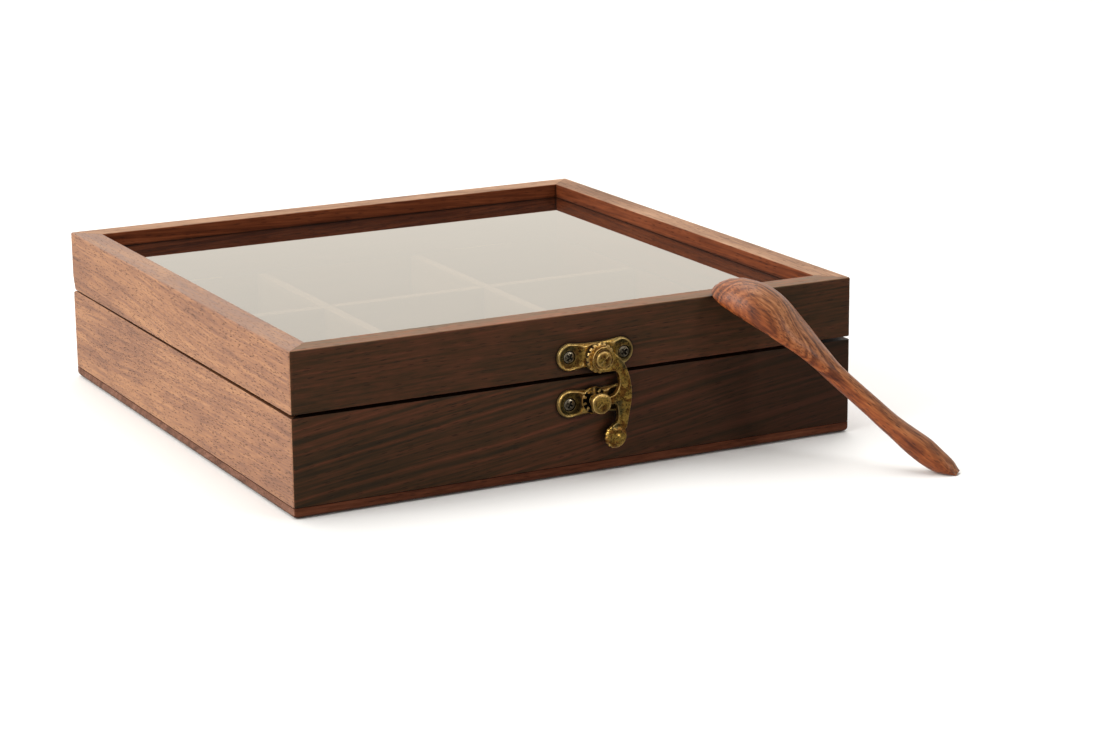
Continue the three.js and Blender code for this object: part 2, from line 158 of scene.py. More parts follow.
# Faces between rings of points, each ring given in the same order
def bridgeRings(bm, rings):
    made = [[bm.verts.new(point) for point in ring] for ring in rings]
    count = len(rings[0])
    for lower, upper in zip(made, made[1:]):
        for k in range(count):
            bm.faces.new((lower[k], lower[(k + 1) % count], upper[(k + 1) % count], upper[k]))
    return made


def skinRings(rings, name, closedEnds=True):
    bm = bmesh.new()
    made = bridgeRings(bm, rings)
    if closedEnds:
        bm.faces.new(made[0])
        bm.faces.new(made[-1])
    bmesh.ops.remove_doubles(bm, verts=bm.verts, dist=1e-6)
    return meshFrom(bm, name)


# A flat outline pushed along a vector to make a solid
def pushOutline(points, push):
    bm = bmesh.new()
    face = bm.faces.new([bm.verts.new(point) for point in points])
    made = bmesh.ops.extrude_face_region(bm, geom=[face])
    moved = [v for v in made["geom"] if isinstance(v, bmesh.types.BMVert)]
    bmesh.ops.translate(bm, verts=moved, vec=push)
    return bm


# Cuts tool meshes out of a mesh and gives the result
def carve(mesh, tools, kind="DIFFERENCE"):
    collection = bpy.context.scene.collection
    target = bpy.data.objects.new("carving", mesh)
    collection.objects.link(target)
    helpers = []
    for tool in tools:
        helper = bpy.data.objects.new("tool", tool)
        collection.objects.link(helper)
        modifier = target.modifiers.new("cut", "BOOLEAN")
        modifier.operation = kind
        modifier.solver = "EXACT"
        modifier.object = helper
        helpers.append(helper)
    bpy.context.view_layer.update()
    graph = bpy.context.evaluated_depsgraph_get()
    result = bpy.data.meshes.new_from_object(target.evaluated_get(graph))
    for o in [target, *helpers]:
        bpy.data.objects.remove(o)
    return result


def blockMesh(low, high, ease=0.0):
    bm = bmesh.new()
    bmesh.ops.create_cube(bm, size=1)
    low, high = Vector(low), Vector(high)
    for v in bm.verts:
        v.co = Vector((low[i] + (v.co[i] + 0.5) * (high[i] - low[i]) for i in range(3)))
    if ease:
        bmesh.ops.bevel(bm, geom=list(bm.edges), offset=ease, segments=2, profile=0.5, affect="EDGES")
    return meshFrom(bm, "block")


# A turned shape: radius and height pairs spun round +Z, then laid along an axis at a place
def turnedMesh(profile, sides, place=Matrix(), wobble=None):
    rings = []
    for radius, height in profile:
        ring = []
        for k in range(sides):
            angle = 2 * math.pi * k / sides
            r = radius * (wobble(angle, height) if wobble else 1)
            ring.append(place @ Vector((r * math.cos(angle), r * math.sin(angle), height)))
        rings.append(ring)
    return skinRings(rings, "turned")


def joined(meshes, name):
    bm = bmesh.new()
    for mesh in meshes:
        bm.from_mesh(mesh)
        bpy.data.meshes.remove(mesh)
    mesh = bpy.data.meshes.new(name)
    bm.to_mesh(mesh)
    bm.free()
    return mesh


def catmullRom(points, steps):
    curve = []
    for i in range(len(points) - 1):
        a, b, c, d = (points[min(max(i + k, 0), len(points) - 1)] for k in (-1, 0, 1, 2))
        for step in range(steps):
            t = step / steps
            curve.append(
                tuple(
                    b[n]
                    + 0.5 * t * (c[n] - a[n])
                    + t * t * (a[n] - 2.5 * b[n] + 2 * c[n] - 0.5 * d[n])
                    + t * t * t * (1.5 * (b[n] - c[n]) + 0.5 * (d[n] - a[n]))
                    for n in range(len(b))
                )
            )
    return curve + [tuple(points[-1])]


# Rosewood boards: growth rings bent by slow drift, fine fibres and dark pores along the grain; faces tinted
# by which way they face, as painted light and shade, and painted shade beside other parts
def woodMaterial(name, look, turn=0.0, tilt=0.0, seed=0.0):
    material, tree, output = newMaterial(name)
    where = addNode(tree, "ShaderNodeTexCoord").outputs["Object"]
    turned = addNode(tree, "ShaderNodeVectorRotate", {"Vector": where, "Angle": -math.radians(turn)})
    turned.rotation_type = "Z_AXIS"
    grain = addNode(
        tree,
        "ShaderNodeMapping",
        {
            "Vector": turned.outputs[0],
            "Location": (seed * 61.7, seed * 13.1, seed * 7.9),
            "Rotation": (0, math.radians(tilt), 0),
            "Scale": metresToMm,
        },
    ).outputs[0]
    drift = speckle(tree, grain, look["driftScale"], 2).outputs["Color"]
    centred = addNode(tree, "ShaderNodeVectorMath", {0: drift, 1: (0.5, 0.5, 0.5)}, operation="SUBTRACT")
    moved = stretch(tree, centred.outputs[0], (0, look["drift"], look["drift"]))
    bent = addNode(tree, "ShaderNodeVectorMath", {0: grain, 1: moved}, operation="ADD").outputs[0]
    heart = addNode(tree, "ShaderNodeVectorMath", {0: bent, 1: look["heart"]}, operation="SUBTRACT")
    across = stretch(tree, heart.outputs[0], (0, 1, 1))
    ring = addNode(tree, "ShaderNodeVectorMath", {0: across}, operation="LENGTH").outputs["Value"]
    inputs = {"W": ring, "Scale": 1 / look["ringWidth"], "Detail": 3.0, "Roughness": look["ringContrast"]}
    streak = addNode(tree, "ShaderNodeTexNoise", inputs, noise_dimensions="1D").outputs[0]
    fibre = speckle(tree, bent, look["fibre"], 5, 0.62).outputs[0]
    cells = addNode(tree, "ShaderNodeTexVoronoi", {"Vector": stretch(tree, bent, look["pore"]), "Scale": 1.0})
    chosen = addNode(tree, "ShaderNodeSeparateXYZ", {0: cells.outputs["Color"]}).outputs[0]
    shape = remap(tree, cells.outputs["Distance"], *look["poreEdge"], 1, 0)
    picked = remap(tree, chosen, 1 - look["poreShare"], 1.02 - look["poreShare"])
    pore = sums(tree, "MULTIPLY", shape, picked)
    patch = speckle(tree, grain, look["patchScale"], 3).outputs[0]
    fleck = speckle(tree, bent, look["fleckScale"], 3, 0.6).outputs[0]
    level = 0.5
    for part, share in ((streak, "rings"), (patch, "patch"), (fibre, "lines"), (fleck, "flecks")):
        shown = sums(tree, "MULTIPLY", sums(tree, "SUBTRACT", part, 0.5), look[share])
        level = sums(tree, "ADD", level, shown)
    colour = ramp(tree, level, look["colours"])
    facing = addNode(tree, "ShaderNodeTexCoord").outputs["Normal"]
    # Painted light and shade: faces turned one way get a tint, for how the lamps fall on them
    for direction, lightTint in look["facingLight"]:
        towards = addNode(tree, "ShaderNodeVectorMath", {0: facing, 1: direction}, operation="DOT_PRODUCT")
        share = remap(tree, towards.outputs["Value"], *look["facingSpan"])
        changed = blendColours(tree, 1.0, colour, (*lightTint, 1), "MULTIPLY")
        colour = blendColours(tree, share, colour, changed)
    dark = (*look["poreColour"], 1)
    colour = blendColours(tree, sums(tree, "MULTIPLY", pore, look["poreDepth"]), colour, dark)
    along = addNode(tree, "ShaderNodeSeparateXYZ", {0: turned.outputs[0]}).outputs["X"]
    darkened = remap(tree, along, *look["darkSpan"], 0, look["darkEnd"])
    colour = blendColours(tree, darkened, colour, dark)
    # Painted shade: the wood darkens where other faces hem it in, beside metal and seams
    if look["contactShade"]:
        paintedShade = shadeByOcclusion(tree, look["shadeReach"], look["shadeSpan"], look["contactShade"])
        colour = blendColours(tree, paintedShade, colour, dark)
    height = sums(tree, "SUBTRACT", sums(tree, "MULTIPLY", fibre, 0.5), pore)
    bump = addNode(tree, "ShaderNodeBump", {"Height": height, "Strength": look["bump"], "Distance": 0.0001})
    rough = remap(tree, fibre, 0.3, 0.7, look["roughness"] - 0.05, look["roughness"] + 0.08)
    inputs = {
        "Base Color": colour,
        "Roughness": sums(tree, "ADD", rough, sums(tree, "MULTIPLY", pore, 0.15)),
        "Normal": bump.outputs[0],
        "Specular IOR Level": look["gloss"],
        "Coat Weight": look["wax"],
        "Coat Roughness": look["waxRoughness"],
    }
    shader = addNode(tree, "ShaderNodeBsdfPrincipled", inputs)
    tree.links.new(shader.outputs[0], output.inputs[0])
    return material


rosewood = {
    "driftScale": (0.010, 0.05, 0.05),
    "drift": 4.0,  # how far the rings wander, mm
    "heart": (0, 30, -70),  # the log's heart from the board, mm
    "ringWidth": 1.25,
    "ringContrast": 0.5,
    "rings": 0.62,  # how much each layer of the figure shows
    "lines": 0.5,
    "patch": 0.4,
    "flecks": 0.2,
    "fibre": (0.05, 1.7, 1.7),
    "fleckScale": (0.14, 1.1, 1.1),
    "pore": (0.2, 1.9, 1.9),
    "poreShare": 0.4,
    "poreDepth": 0.6,
    "poreEdge": (0.16, 0.34),
    "poreColour": (0.012, 0.006, 0.003),
    "patchScale": (0.014, 0.06, 0.06),
    "facingLight": [((0, 0, 1), (2.7, 3.0, 3.0))],  # upper faces painted lighter, as lit from above
    "facingSpan": (0.6, 0.95),
    "darkEnd": 0.0,  # how much darker the board turns towards its right end
    "darkSpan": (-0.03, 0.09),  # from where to where along the board, m
    "contactShade": 0.0,  # painted shade on the wood beside metal and seams
    "shadeReach": 0.0035,
    "shadeSpan": (0.58, 0.97),
    "bump": 0.35,
    "roughness": 0.42,
    "gloss": 0.16,
    "wax": 0.0,
    "waxRoughness": 0.3,
    "colours": [
        (0.30, (0.026, 0.016, 0.0080)),
        (0.44, (0.044, 0.0210, 0.0082)),
        (0.56, (0.070, 0.0245, 0.0095)),
        (0.70, (0.108, 0.031, 0.0135)),
    ],
}

# The lid's front is plainer and finer than the tray's
plainRosewood = dict(
    rosewood,
    ringWidth=0.9,
    drift=2.5,
    rings=0.2,
    patch=0.35,
    flecks=0.35,
    # painted shade round the latch and along the seam
    contactShade=0.9,
)

# The tray's upper face, under the lid at the seam, is painted in shade; the board darkens towards its right
# end, with painted shade beside metal and seams
trayRosewood = dict(rosewood, facingLight=[((0, 0, 1), (0.4, 0.4, 0.4))], darkEnd=0.62, contactShade=0.9)

tanWood = dict(
    rosewood,
    ringWidth=3.0,
    drift=6.0,
    rings=0.28,
    lines=0.8,
    patch=0.42,
    flecks=0.22,
    fibre=(0.05, 1.5, 1.5),
    fleckScale=(0.17, 0.8, 0.8),
    pore=(0.3, 2.2, 2.2),
    patchScale=(0.015, 0.075, 0.075),
    poreShare=0.96,
    poreDepth=0.85,
    poreColour=(0.07, 0.029, 0.015),
    # upper faces painted a little darker and greyer, for how the light falls on them
    facingLight=[((0, 0, 1), (0.82, 0.86, 0.92))],
    gloss=0.35,
    colours=[
        (0.28, (0.16, 0.074, 0.044)),
        (0.43, (0.26, 0.122, 0.071)),
        (0.54, (0.335, 0.160, 0.084)),
        (0.68, (0.43, 0.215, 0.108)),
    ],
)
# The tray's upper faces, under the lid, are painted in shade
trayTan = dict(tanWood, facingLight=[((0, 0, 1), (0.35, 0.3, 0.25))])

redWood = dict(
    rosewood,
    ringWidth=2.4,
    rings=0.45,
    lines=0.6,
    patchScale=(0.02, 0.07, 0.07),
    poreColour=(0.02, 0.007, 0.004),
    # upper faces painted paler and pinker, as a sheen
    facingLight=[((0, 0, 1), (2.0, 4.4, 7.6))],
    # painted shade where the rails meet the pane and other parts
    contactShade=0.7,
    shadeReach=0.0012,
    gloss=0.08,
    roughness=0.5,
    colours=[
        (0.28, (0.056, 0.0128, 0.0041)),
        (0.44, (0.118, 0.028, 0.0094)),
        (0.56, (0.18, 0.046, 0.0158)),
        (0.72, (0.25, 0.07, 0.027)),
    ],
)
# The tray's upper faces, under the lid, are painted in shade
trayRed = dict(redWood, facingLight=[((0, 0, 1), (0.5, 0.5, 0.5))])

trayWood = dict(
    rosewood,
    ringWidth=6.0,
    rings=0.5,
    poreColour=(0.08, 0.035, 0.02),
    facingLight=[],
    roughness=0.55,
    colours=[
        (0.28, (0.16, 0.085, 0.05)),
        (0.5, (0.25, 0.14, 0.085)),
        (0.75, (0.34, 0.20, 0.13)),
    ],
)

spoonWood = dict(
    rosewood,
    driftScale=(0.03, 0.07, 0.07),
    drift=1.4,
    heart=(0, -10, 26),
    ringWidth=0.95,
    rings=0.6,
    lines=0.6,
    patch=0.35,
    flecks=0.45,
    fibre=(0.13, 1.6, 1.6),
    fleckScale=(0.2, 1.2, 1.2),
    pore=(0.27, 2.0, 2.0),
    poreShare=0.85,
    poreDepth=0.85,
    poreColour=(0.035, 0.010, 0.004),
    patchScale=(0.03, 0.10, 0.10),
    # the upper side painted paler, as lit from above; the side turned to the front painted darker and redder
    facingLight=[((0, 1, 0), (1.05, 1.3, 1.6)), ((0, -0.2, -0.98), (1.0, 0.78, 0.5))],
    bump=0.3,
    wax=0.1,
    gloss=0.35,
    colours=[
        (0.28, (0.0528, 0.0132, 0.0044)),
        (0.43, (0.143, 0.0374, 0.011)),
        (0.56, (0.253, 0.0737, 0.0209)),
        (0.72, (0.369, 0.128, 0.0429)),
    ],
)


# Old brass: bright where rubbed, with a painted highlight along raised edges; brown and greenish where it
# lies low; grime with painted shade in hollows and gaps
def brassMaterial(name, look, seed=0.0):
    material, tree, output = newMaterial(name)
    where = addNode(tree, "ShaderNodeTexCoord").outputs["Object"]
    inputs = {"Vector": where, "Location": (seed, seed * 2, seed * 3), "Scale": metresToMm}
    spot = addNode(tree, "ShaderNodeMapping", inputs).outputs[0]
    blotch = speckle(tree, spot, (look["blotchScale"],) * 3, 5, 0.65).outputs[0]
    cloud = speckle(tree, spot, (look["cloudScale"],) * 3, 3).outputs[0]
    grit = speckle(tree, spot, (look["gritScale"],) * 3, 3, 0.7).outputs[0]
    edge = addNode(tree, "ShaderNodeNewGeometry").outputs["Pointiness"]
    raised = remap(tree, edge, look["edgeFrom"], look["edgeAt"])
    # Grime and painted shade in hollows and between parts
    grimeShade = shadeByOcclusion(tree, look["grimeShadeReach"], look["grimeShadeSpan"], 1, look["ownGrimeShade"])
    depth = addNode(tree, "ShaderNodeSeparateXYZ", {0: where}).outputs["Y"]
    layers = [
        (remap(tree, blotch, *look["browned"]), "brown"),
        (remap(tree, cloud, *look["greened"]), "green"),
    ]
    for start, share, tint in look["sunk"]:
        layers.append((remap(tree, depth, start, start + look["sunkEase"], 0, share), tint))
    layers += [
        (remap(tree, grit, *look["gritty"]), "crevice"),
        # Rubbed wear, with a painted highlight on raised edges
        (sums(tree, "MULTIPLY", raised, look["glintShare"]), "rubbedGlint"),
        (sums(tree, "MULTIPLY", grimeShade, look["grimeShadeShare"]), "crevice"),
    ]
    body = (*look["metal"], 1)
    for share, tint in layers:
        body = blendColours(tree, share, body, (*look[tint], 1))
    bump = addNode(tree, "ShaderNodeBump", {"Height": blotch, "Strength": 0.8, "Distance": 0.0003})
    fine = {"Height": grit, "Strength": 0.6, "Distance": 0.0001, "Normal": bump.outputs[0]}
    bump = addNode(tree, "ShaderNodeBump", fine)
    inputs = {
        "Base Color": body,
        "Metallic": remap(tree, grimeShade, 0.1, 0.8, 0.95, 0.3),
        "Roughness": remap(tree, blotch, 0.3, 0.7, look["roughness"], look["roughness"] + 0.22),
        "Normal": bump.outputs[0],
    }
    shader = addNode(tree, "ShaderNodeBsdfPrincipled", inputs)
    tree.links.new(shader.outputs[0], output.inputs[0])
    return material


oldBrass = {
    "metal": (0.74, 0.46, 0.105),
    "brown": (0.30, 0.135, 0.028),
    "green": (0.15, 0.135, 0.06),
    "olive": (0.085, 0.072, 0.028),
    "crevice": (0.012, 0.008, 0.004),
    "rubbedGlint": (0.95, 0.66, 0.25),
    "blotchScale": 0.3,
    "cloudScale": 0.14,
    "gritScale": 1.7,
    "browned": (0.45, 0.57),  # which blotches turn brown
    "greened": (0.5, 0.6, 0, 0.8),
    "gritty": (0.48, 0.62, 0, 0.75),
    "sunk": [],  # where a face lies low: from which depth, how much, which tint
    "sunkEase": 0.0003,
    "glintShare": 0.8,
    "edgeFrom": 0.505,
    "edgeAt": 0.56,
    "ownGrimeShade": True,
    "grimeShadeReach": 0.0011,
    "grimeShadeSpan": (0.4, 0.95),
    "grimeShadeShare": 0.93,
    "roughness": 0.27,
}

darkBronze = dict(
    oldBrass,
    metal=(0.26, 0.22, 0.15),
    brown=(0.10, 0.075, 0.05),
    # Its grime and painted shade reach over from the plates, darkening the gap round each screw head
    ownGrimeShade=False,
    grimeShadeReach=0.0008,
    green=(0.12, 0.11, 0.085),
    rubbedGlint=(0.6, 0.52, 0.38),
    roughness=0.2,
)


pane = {
    "ease": 0.3,  # ground edges, mm
    "mirror": 2.6,
    "roughness": 0.02,
    "glassTint": (0.93, 0.955, 0.94),
    "mirrorTint": (0.665, 0.64, 0.603),
    "dustTint": (0.85, 0.84, 0.78),
    "filmScale": 30,
    "film": (0.015, 0.04),  # least and most dust
}


# A clear pane: it mirrors more the flatter it is seen, with a faint film of dust
def paneMaterial(name):
    material, tree, output = newMaterial(name)
    where = addNode(tree, "ShaderNodeTexCoord").outputs["Object"]
    film = speckle(tree, where, (pane["filmScale"],) * 3, 4).outputs[0]
    fresnel = addNode(tree, "ShaderNodeFresnel", {"IOR": 1.5}).outputs[0]
    front = sums(tree, "SUBTRACT", 1.0, addNode(tree, "ShaderNodeNewGeometry").outputs["Backfacing"])
    mirror = sums(tree, "MULTIPLY", sums(tree, "MULTIPLY", fresnel, pane["mirror"]), front, clamp=True)
    clear = addNode(tree, "ShaderNodeBsdfTransparent", {"Color": (*pane["glassTint"], 1)})
    mirrored = {"Color": (*pane["mirrorTint"], 1), "Roughness": pane["roughness"]}
    gloss = addNode(tree, "ShaderNodeBsdfGlossy", mirrored)
    dust = addNode(tree, "ShaderNodeBsdfDiffuse", {"Color": (*pane["dustTint"], 1)})
    veil = sums(tree, "MULTIPLY", remap(tree, film, 0.2, 0.8, *pane["film"]), front)
    inner = addNode(tree, "ShaderNodeMixShader", {0: veil, 1: clear.outputs[0], 2: dust.outputs[0]})
    mixed = addNode(tree, "ShaderNodeMixShader", {0: mirror, 1: inner.outputs[0], 2: gloss.outputs[0]})
    tree.links.new(mixed.outputs[0], output.inputs[0])
    return material


box = {
    "half": 101.6,  # half the outer width, mm
    "wall": 9.1,
    "corner": 0.9,  # eased vertical corners
    "arris": 0.5,  # eased top edges
    "seamEase": 0.25,  # crisp edges where lid and tray meet
    "innerArris": 0.4,
    "mitreGap": 0.05,
    "rim": 32.25,  # top of the tray
    "underside": 33.35,  # bottom of the lid
    "seamTaper": 0.7,  # the seam closes by this much towards the back
    "seamTaperHeight": 1.5,
    "top": 53.5,
    "panel": 3.6,
    "glueGap": 0.05,
    "groove": (45.2, 48.4),  # the pane's groove in the rails, low and high
    "grooveDepth": 4,
    "roundingCuts": (0, 0.1, 0.25, 0.45, 0.71),  # places of cuts in a round corner, by its radius
    "endCuts": (1.6, 4, 9),  # further cuts near a board's end, mm
    "lengths": 24,  # lengths that the rest of a board is cut into
}

turns = {"front": 0, "right": 90, "back": 180, "left": 270}
panel = {"round": 1.7, "roundCuts": 5, "corner": 0.9, "lip": 0.2}


# A section's corners as (inset from the outer face, height, radius), made round
def roundedSection(corners, steps=5):
    points = []
    for k, (u, z, radius) in enumerate(corners):
        here = Vector((u, z))
        if radius == 0:
            points.append((u, z))
            continue
        before = Vector(corners[k - 1][:2]) - here
        after = Vector(corners[(k + 1) % len(corners)][:2]) - here
        start = here + before.normalized() * radius
        end = here + after.normalized() * radius
        centre = start + end - here
        for step in range(steps + 1):
            t = step / steps
            swing = (start - centre) * math.cos(t * math.pi / 2) + (end - centre) * math.sin(t * math.pi / 2)
            points.append(tuple(centre + swing))
    return points


# A mitred board whose section runs along one side of the box, with its share of the round corners
def mitredBoard(section, side, name):
    radius = box["corner"]
    half = box["half"]
    nearEnd = [place * radius for place in box["roundingCuts"]] + list(box["endCuts"])
    reach = half - box["wall"] - nearEnd[-1]
    diagonal = math.sqrt(0.5)
    cut = (1 - diagonal) * radius

    def inset(u, fromEnd):
        x = diagonal * radius - fromEnd
        bend = radius - math.sqrt(max(radius**2 - x**2, 0)) if x > 0 else 0
        return u + min(bend, cut) * max(0, 1 - u / 2) ** 2

    def endRing(sign, fromEnd):
        points = []
        for u, z in section:
            end = half - inset(u, 0) - box["mitreGap"]
            points.append((sign * (end - fromEnd), -half + inset(u, fromEnd), z))
        return points

    rings = [endRing(-1, d) for d in nearEnd]
    for k in range(box["lengths"] + 1):
        x = reach * (-1 + 2 * k / box["lengths"])
        rings.append([(x, -half + u, z) for u, z in section])
    rings += [endRing(1, d) for d in reversed(nearEnd)]
    turn = Matrix.Rotation(math.radians(turns[side]), 4, "Z")
    scaled = [[turn @ Vector(p) * mm for p in points] for points in rings]
    return skinRings(scaled, name)


def boardSection():
    wall, rim, low = box["wall"], box["rim"], box["panel"] + box["glueGap"]
    inner, ease = box["innerArris"], box["seamEase"]
    return roundedSection([(wall, low, 0), (wall, rim, inner), (0, rim, ease), (0, low, panel["lip"])])


def railSection():
    wall, low, top, arris = box["wall"], box["underside"], box["top"], box["arris"]
    under, over = box["groove"]
    deep = wall - box["grooveDepth"]
    inside = [(wall, low, 0.3), (wall, under, 0), (deep, under, 0), (deep, over, 0), (wall, over, 0)]
    outside = [(wall, top, box["innerArris"]), (0, top, arris), (0, low, box["seamEase"])]
    return roundedSection(inside + outside)


hinge = {
    "x": 60,
    "length": 26,
    "inset": 2.5,  # pin axis in from the back
    "z": 32.8,
    "barrel": 2.15,
    "bedInset": 8.8,
    "bedLength": 26.6,
    "trayBed": 31.6,  # bottom of the tray's bed
    "lidBed": 34.0,
    "trayPlaned": -1.33,  # how far each back edge is planed off
    "lidPlaned": 6,
}


# The slope planed off the back edges, so that the lid can lie back
def backSlope(edge, planed):
    over, thick, reach = 4, math.copysign(3, planed), 110
    y = box["half"] - hinge["inset"]
    far = edge + planed / hinge["inset"] * over
    wedge = [(y, edge), (y + over, far), (y + over, edge - thick), (y, edge - thick)]
    return skinRings([[Vector((x, a, b)) * mm for a, b in wedge] for x in (-reach, reach)], "slope")


# Brings a rail's underside down towards the back, where the lid sits closer on the tray
def closeSeam(mesh):
    for v in mesh.vertices:
        low = max(0, 1 - abs(v.co.z / mm - box["underside"]) / box["seamTaperHeight"])
        towardsBack = min(max(0.5 + v.co.y / mm / (2 * box["half"]), 0), 1)
        v.co.z -= box["seamTaper"] * towardsBack * low * mm


def alongPin(x):
    y = box["half"] - hinge["inset"]
    place = Matrix.Translation(Vector((x, y, hinge["z"])) * mm)
    return place @ Matrix.Rotation(math.pi / 2, 4, "Y") @ Matrix.Scale(mm, 4)


def hingeBeds(ofLid):
    tools = []
    half = hinge["bedLength"] / 2
    deep, flush = (hinge["z"], hinge["lidBed"]) if ofLid else (hinge["trayBed"], hinge["z"])
    y0, y1 = box["half"] - hinge["bedInset"], box["half"] - hinge["inset"]
    for sign in (-1, 1):
        low, high = sign * hinge["x"] - half, sign * hinge["x"] + half
        tools.append(blockMesh(Vector((low, y0, deep)) * mm, Vector((high, y1, flush)) * mm))
        tools.append(turnedMesh([(hinge["barrel"], 0), (hinge["barrel"], 2 * half)], 40, alongPin(low)))
    return tools


print("boards")
# For each side: the finish, the wood, how the grain tilts, and where in the log it was sawn
boardLooks = {
    "front": ("baseFrontRosewood", trayRosewood, 8, 1.0),
    "left": ("baseLeftRosewood", trayTan, 2, 2.0),
    "back": ("baseBackRosewood", trayRed, -3, 3.0),
    "right": ("baseRightRosewood", trayRed, 4, 4.0),
}
railLooks = {
    "front": ("lidFrontRosewood", plainRosewood, 1.5, 5.0),
    "left": ("lidLeftRosewood", tanWood, -2, 6.0),
    "back": ("lidBackRosewood", redWood, 2, 7.0),
    "right": ("lidRightRosewood", redWood, -1, 8.0),
}


def addSide(side, body, nodeName, pieceName, section, planedFrom, planed, looks):
    mesh = mitredBoard(section, side, nodeName + "_mesh")
    tools = [] if side == "front" else [backSlope(planedFrom, planed)]
    if side == "back":
        tools += hingeBeds(body == "lid")
    if tools:
        mesh = carve(mesh, tools)
    if body == "lid":
        closeSeam(mesh)
    finish, look, tilt, seed = looks[side]
    wood = woodMaterial(finish, look, turns[side], tilt, seed)
    addPiece(pieceName, mesh, body, wood, [nodeName], planed=True)


for side in boardLooks:
    names = (f"base_{side}_board", f"{side}_tray_board")
    addSide(side, "base", *names, boardSection(), box["rim"], hinge["trayPlaned"], boardLooks)
for side in railLooks:
    names = (f"lid_{side}_rail", f"{side}_lid_rail")
    addSide(side, "lid", *names, railSection(), box["underside"], hinge["lidPlaned"], railLooks)


# A square ring with round corners, its sides cut into short lengths
def squareRing(inset, z, radius, lengths=16, steps=4):
    half = box["half"] - inset
    straight = half - radius
    points = []
    for turn in range(4):
        spin = Matrix.Rotation(turn * math.pi / 2, 3, "Z")
        for k in range(lengths):
            points.append(spin @ Vector((-straight + 2 * straight * k / lengths, -half, z)))
        for k in range(steps):
            swing = -math.pi / 2 + k * math.pi / 2 / steps
            corner = (straight + radius * math.cos(swing), -straight + radius * math.sin(swing), z)
            points.append(spin @ Vector(corner))
    return [p * mm for p in points]


def bottomPanelMesh():
    r = panel["round"]
    rings = []
    for k in range(panel["roundCuts"] + 1):
        a = k / panel["roundCuts"] * math.pi / 2
        rings.append(squareRing(r - r * math.sin(a), r - r * math.cos(a), panel["corner"]))
    top = box["panel"]
    rings.append(squareRing(0, top - panel["lip"], panel["corner"]))
    rings.append(squareRing(panel["lip"], top, panel["corner"]))
    return skinRings(rings, "bottom_panel_mesh")


panelWood = dict(
    redWood,
    flecks=0.5,
    # left faces painted paler and greyer, as lit from the left
    facingLight=[((-1, 0, 0), (1.9, 3.0, 4.4))],
    colours=[
        (0.28, (0.045, 0.013, 0.006)),
        (0.5, (0.095, 0.028, 0.012)),
        (0.75, (0.16, 0.052, 0.025)),
    ],
)
panelFinish = woodMaterial("panelRosewood", panelWood, 0, 0, 9.0)
addPiece("bottom_board", bottomPanelMesh(), "base", panelFinish, ["bottom_panel"], planed=True)


divider = {
    "pitch": 63,
    "thickness": 4,
    "top": 32.1,
    "endGap": 0.3,
    "lap": 0.12,  # play in the half-lap joints
    "ease": 0.35,
}


# One divider strip with its two half-lap slots
def dividerMesh(offset, slottedFromAbove, name):
    reach = box["half"] - box["wall"] - divider["endGap"]
    low, top = box["panel"] + box["glueGap"], divider["top"]
    half = divider["thickness"] / 2
    slot = half + divider["lap"]
    centres = (-divider["pitch"] / 2, divider["pitch"] / 2)
    edge = []
    if slottedFromAbove:
        deep = (low + top) / 2 - divider["lap"]
        for c in reversed(centres):
            edge += [(c + slot, top), (c + slot, deep), (c - slot, deep), (c - slot, top)]
        outline = [(-reach, low), (reach, low), (reach, top), *edge, (-reach, top)]
    else:
        deep = (low + top) / 2 + divider["lap"]
        for c in centres:
            edge += [(c - slot, low), (c - slot, deep), (c + slot, deep), (c + slot, low)]
        outline = [(-reach, low), *edge, (reach, low), (reach, top), (-reach, top)]
    bm = pushOutline([(x * mm, (offset - half) * mm, z * mm) for x, z in outline], (0, 2 * half * mm, 0))
    ease = divider["ease"] * mm
    bmesh.ops.bevel(bm, geom=list(bm.edges), offset=ease, segments=2, profile=0.5, affect="EDGES")
    return meshFrom(bm, name)


print("dividers and pane")
for number, sign in ((1, -1), (2, 1)):
    offset = sign * divider["pitch"] / 2
    mesh = dividerMesh(offset, True, f"divider_long_{number}_mesh")
    wood = woodMaterial(f"dividerWoodLong{number}", trayWood, 0, 1, 9.0 + number)
    hidden = [f"divider_lengthwise_{number}"]
    addPiece(f"long_divider_{number}", mesh, "base", wood, hidden, planed=True)
    mesh = dividerMesh(-offset, False, f"divider_cross_{number}_mesh")
    mesh.transform(Matrix.Rotation(math.pi / 2, 4, "Z"))
    wood = woodMaterial(f"dividerWoodCross{number}", trayWood, 90, 1, 11.0 + number)
    hidden = [f"divider_crosswise_{number}"]
    addPiece(f"cross_divider_{number}", mesh, "base", wood, hidden, planed=True)

low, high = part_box("lid_glass")
mesh = blockMesh(low, high, pane["ease"] * mm)
addPiece("glass_pane", mesh, "lid", paneMaterial("clearPane"), ["lid_glass"], planed=True)


# Points drawn face on (x to the right, z up, height out from the front) in the row frame
def onFront(x, z, out):
    return Vector((x * mm, (-box["half"] - out) * mm, z * mm))


facing = Matrix.Rotation(math.pi / 2, 4, "X")  # a turned shape's height points out of the front


def frontPlace(x, z):
    return Matrix.Translation(onFront(x, z, 0)) @ facing @ Matrix.Scale(mm, 4)


def rise(value, low, high):
    t = min(max((value - low) / (high - low), 0), 1)
    return t * t * (3 - 2 * t)


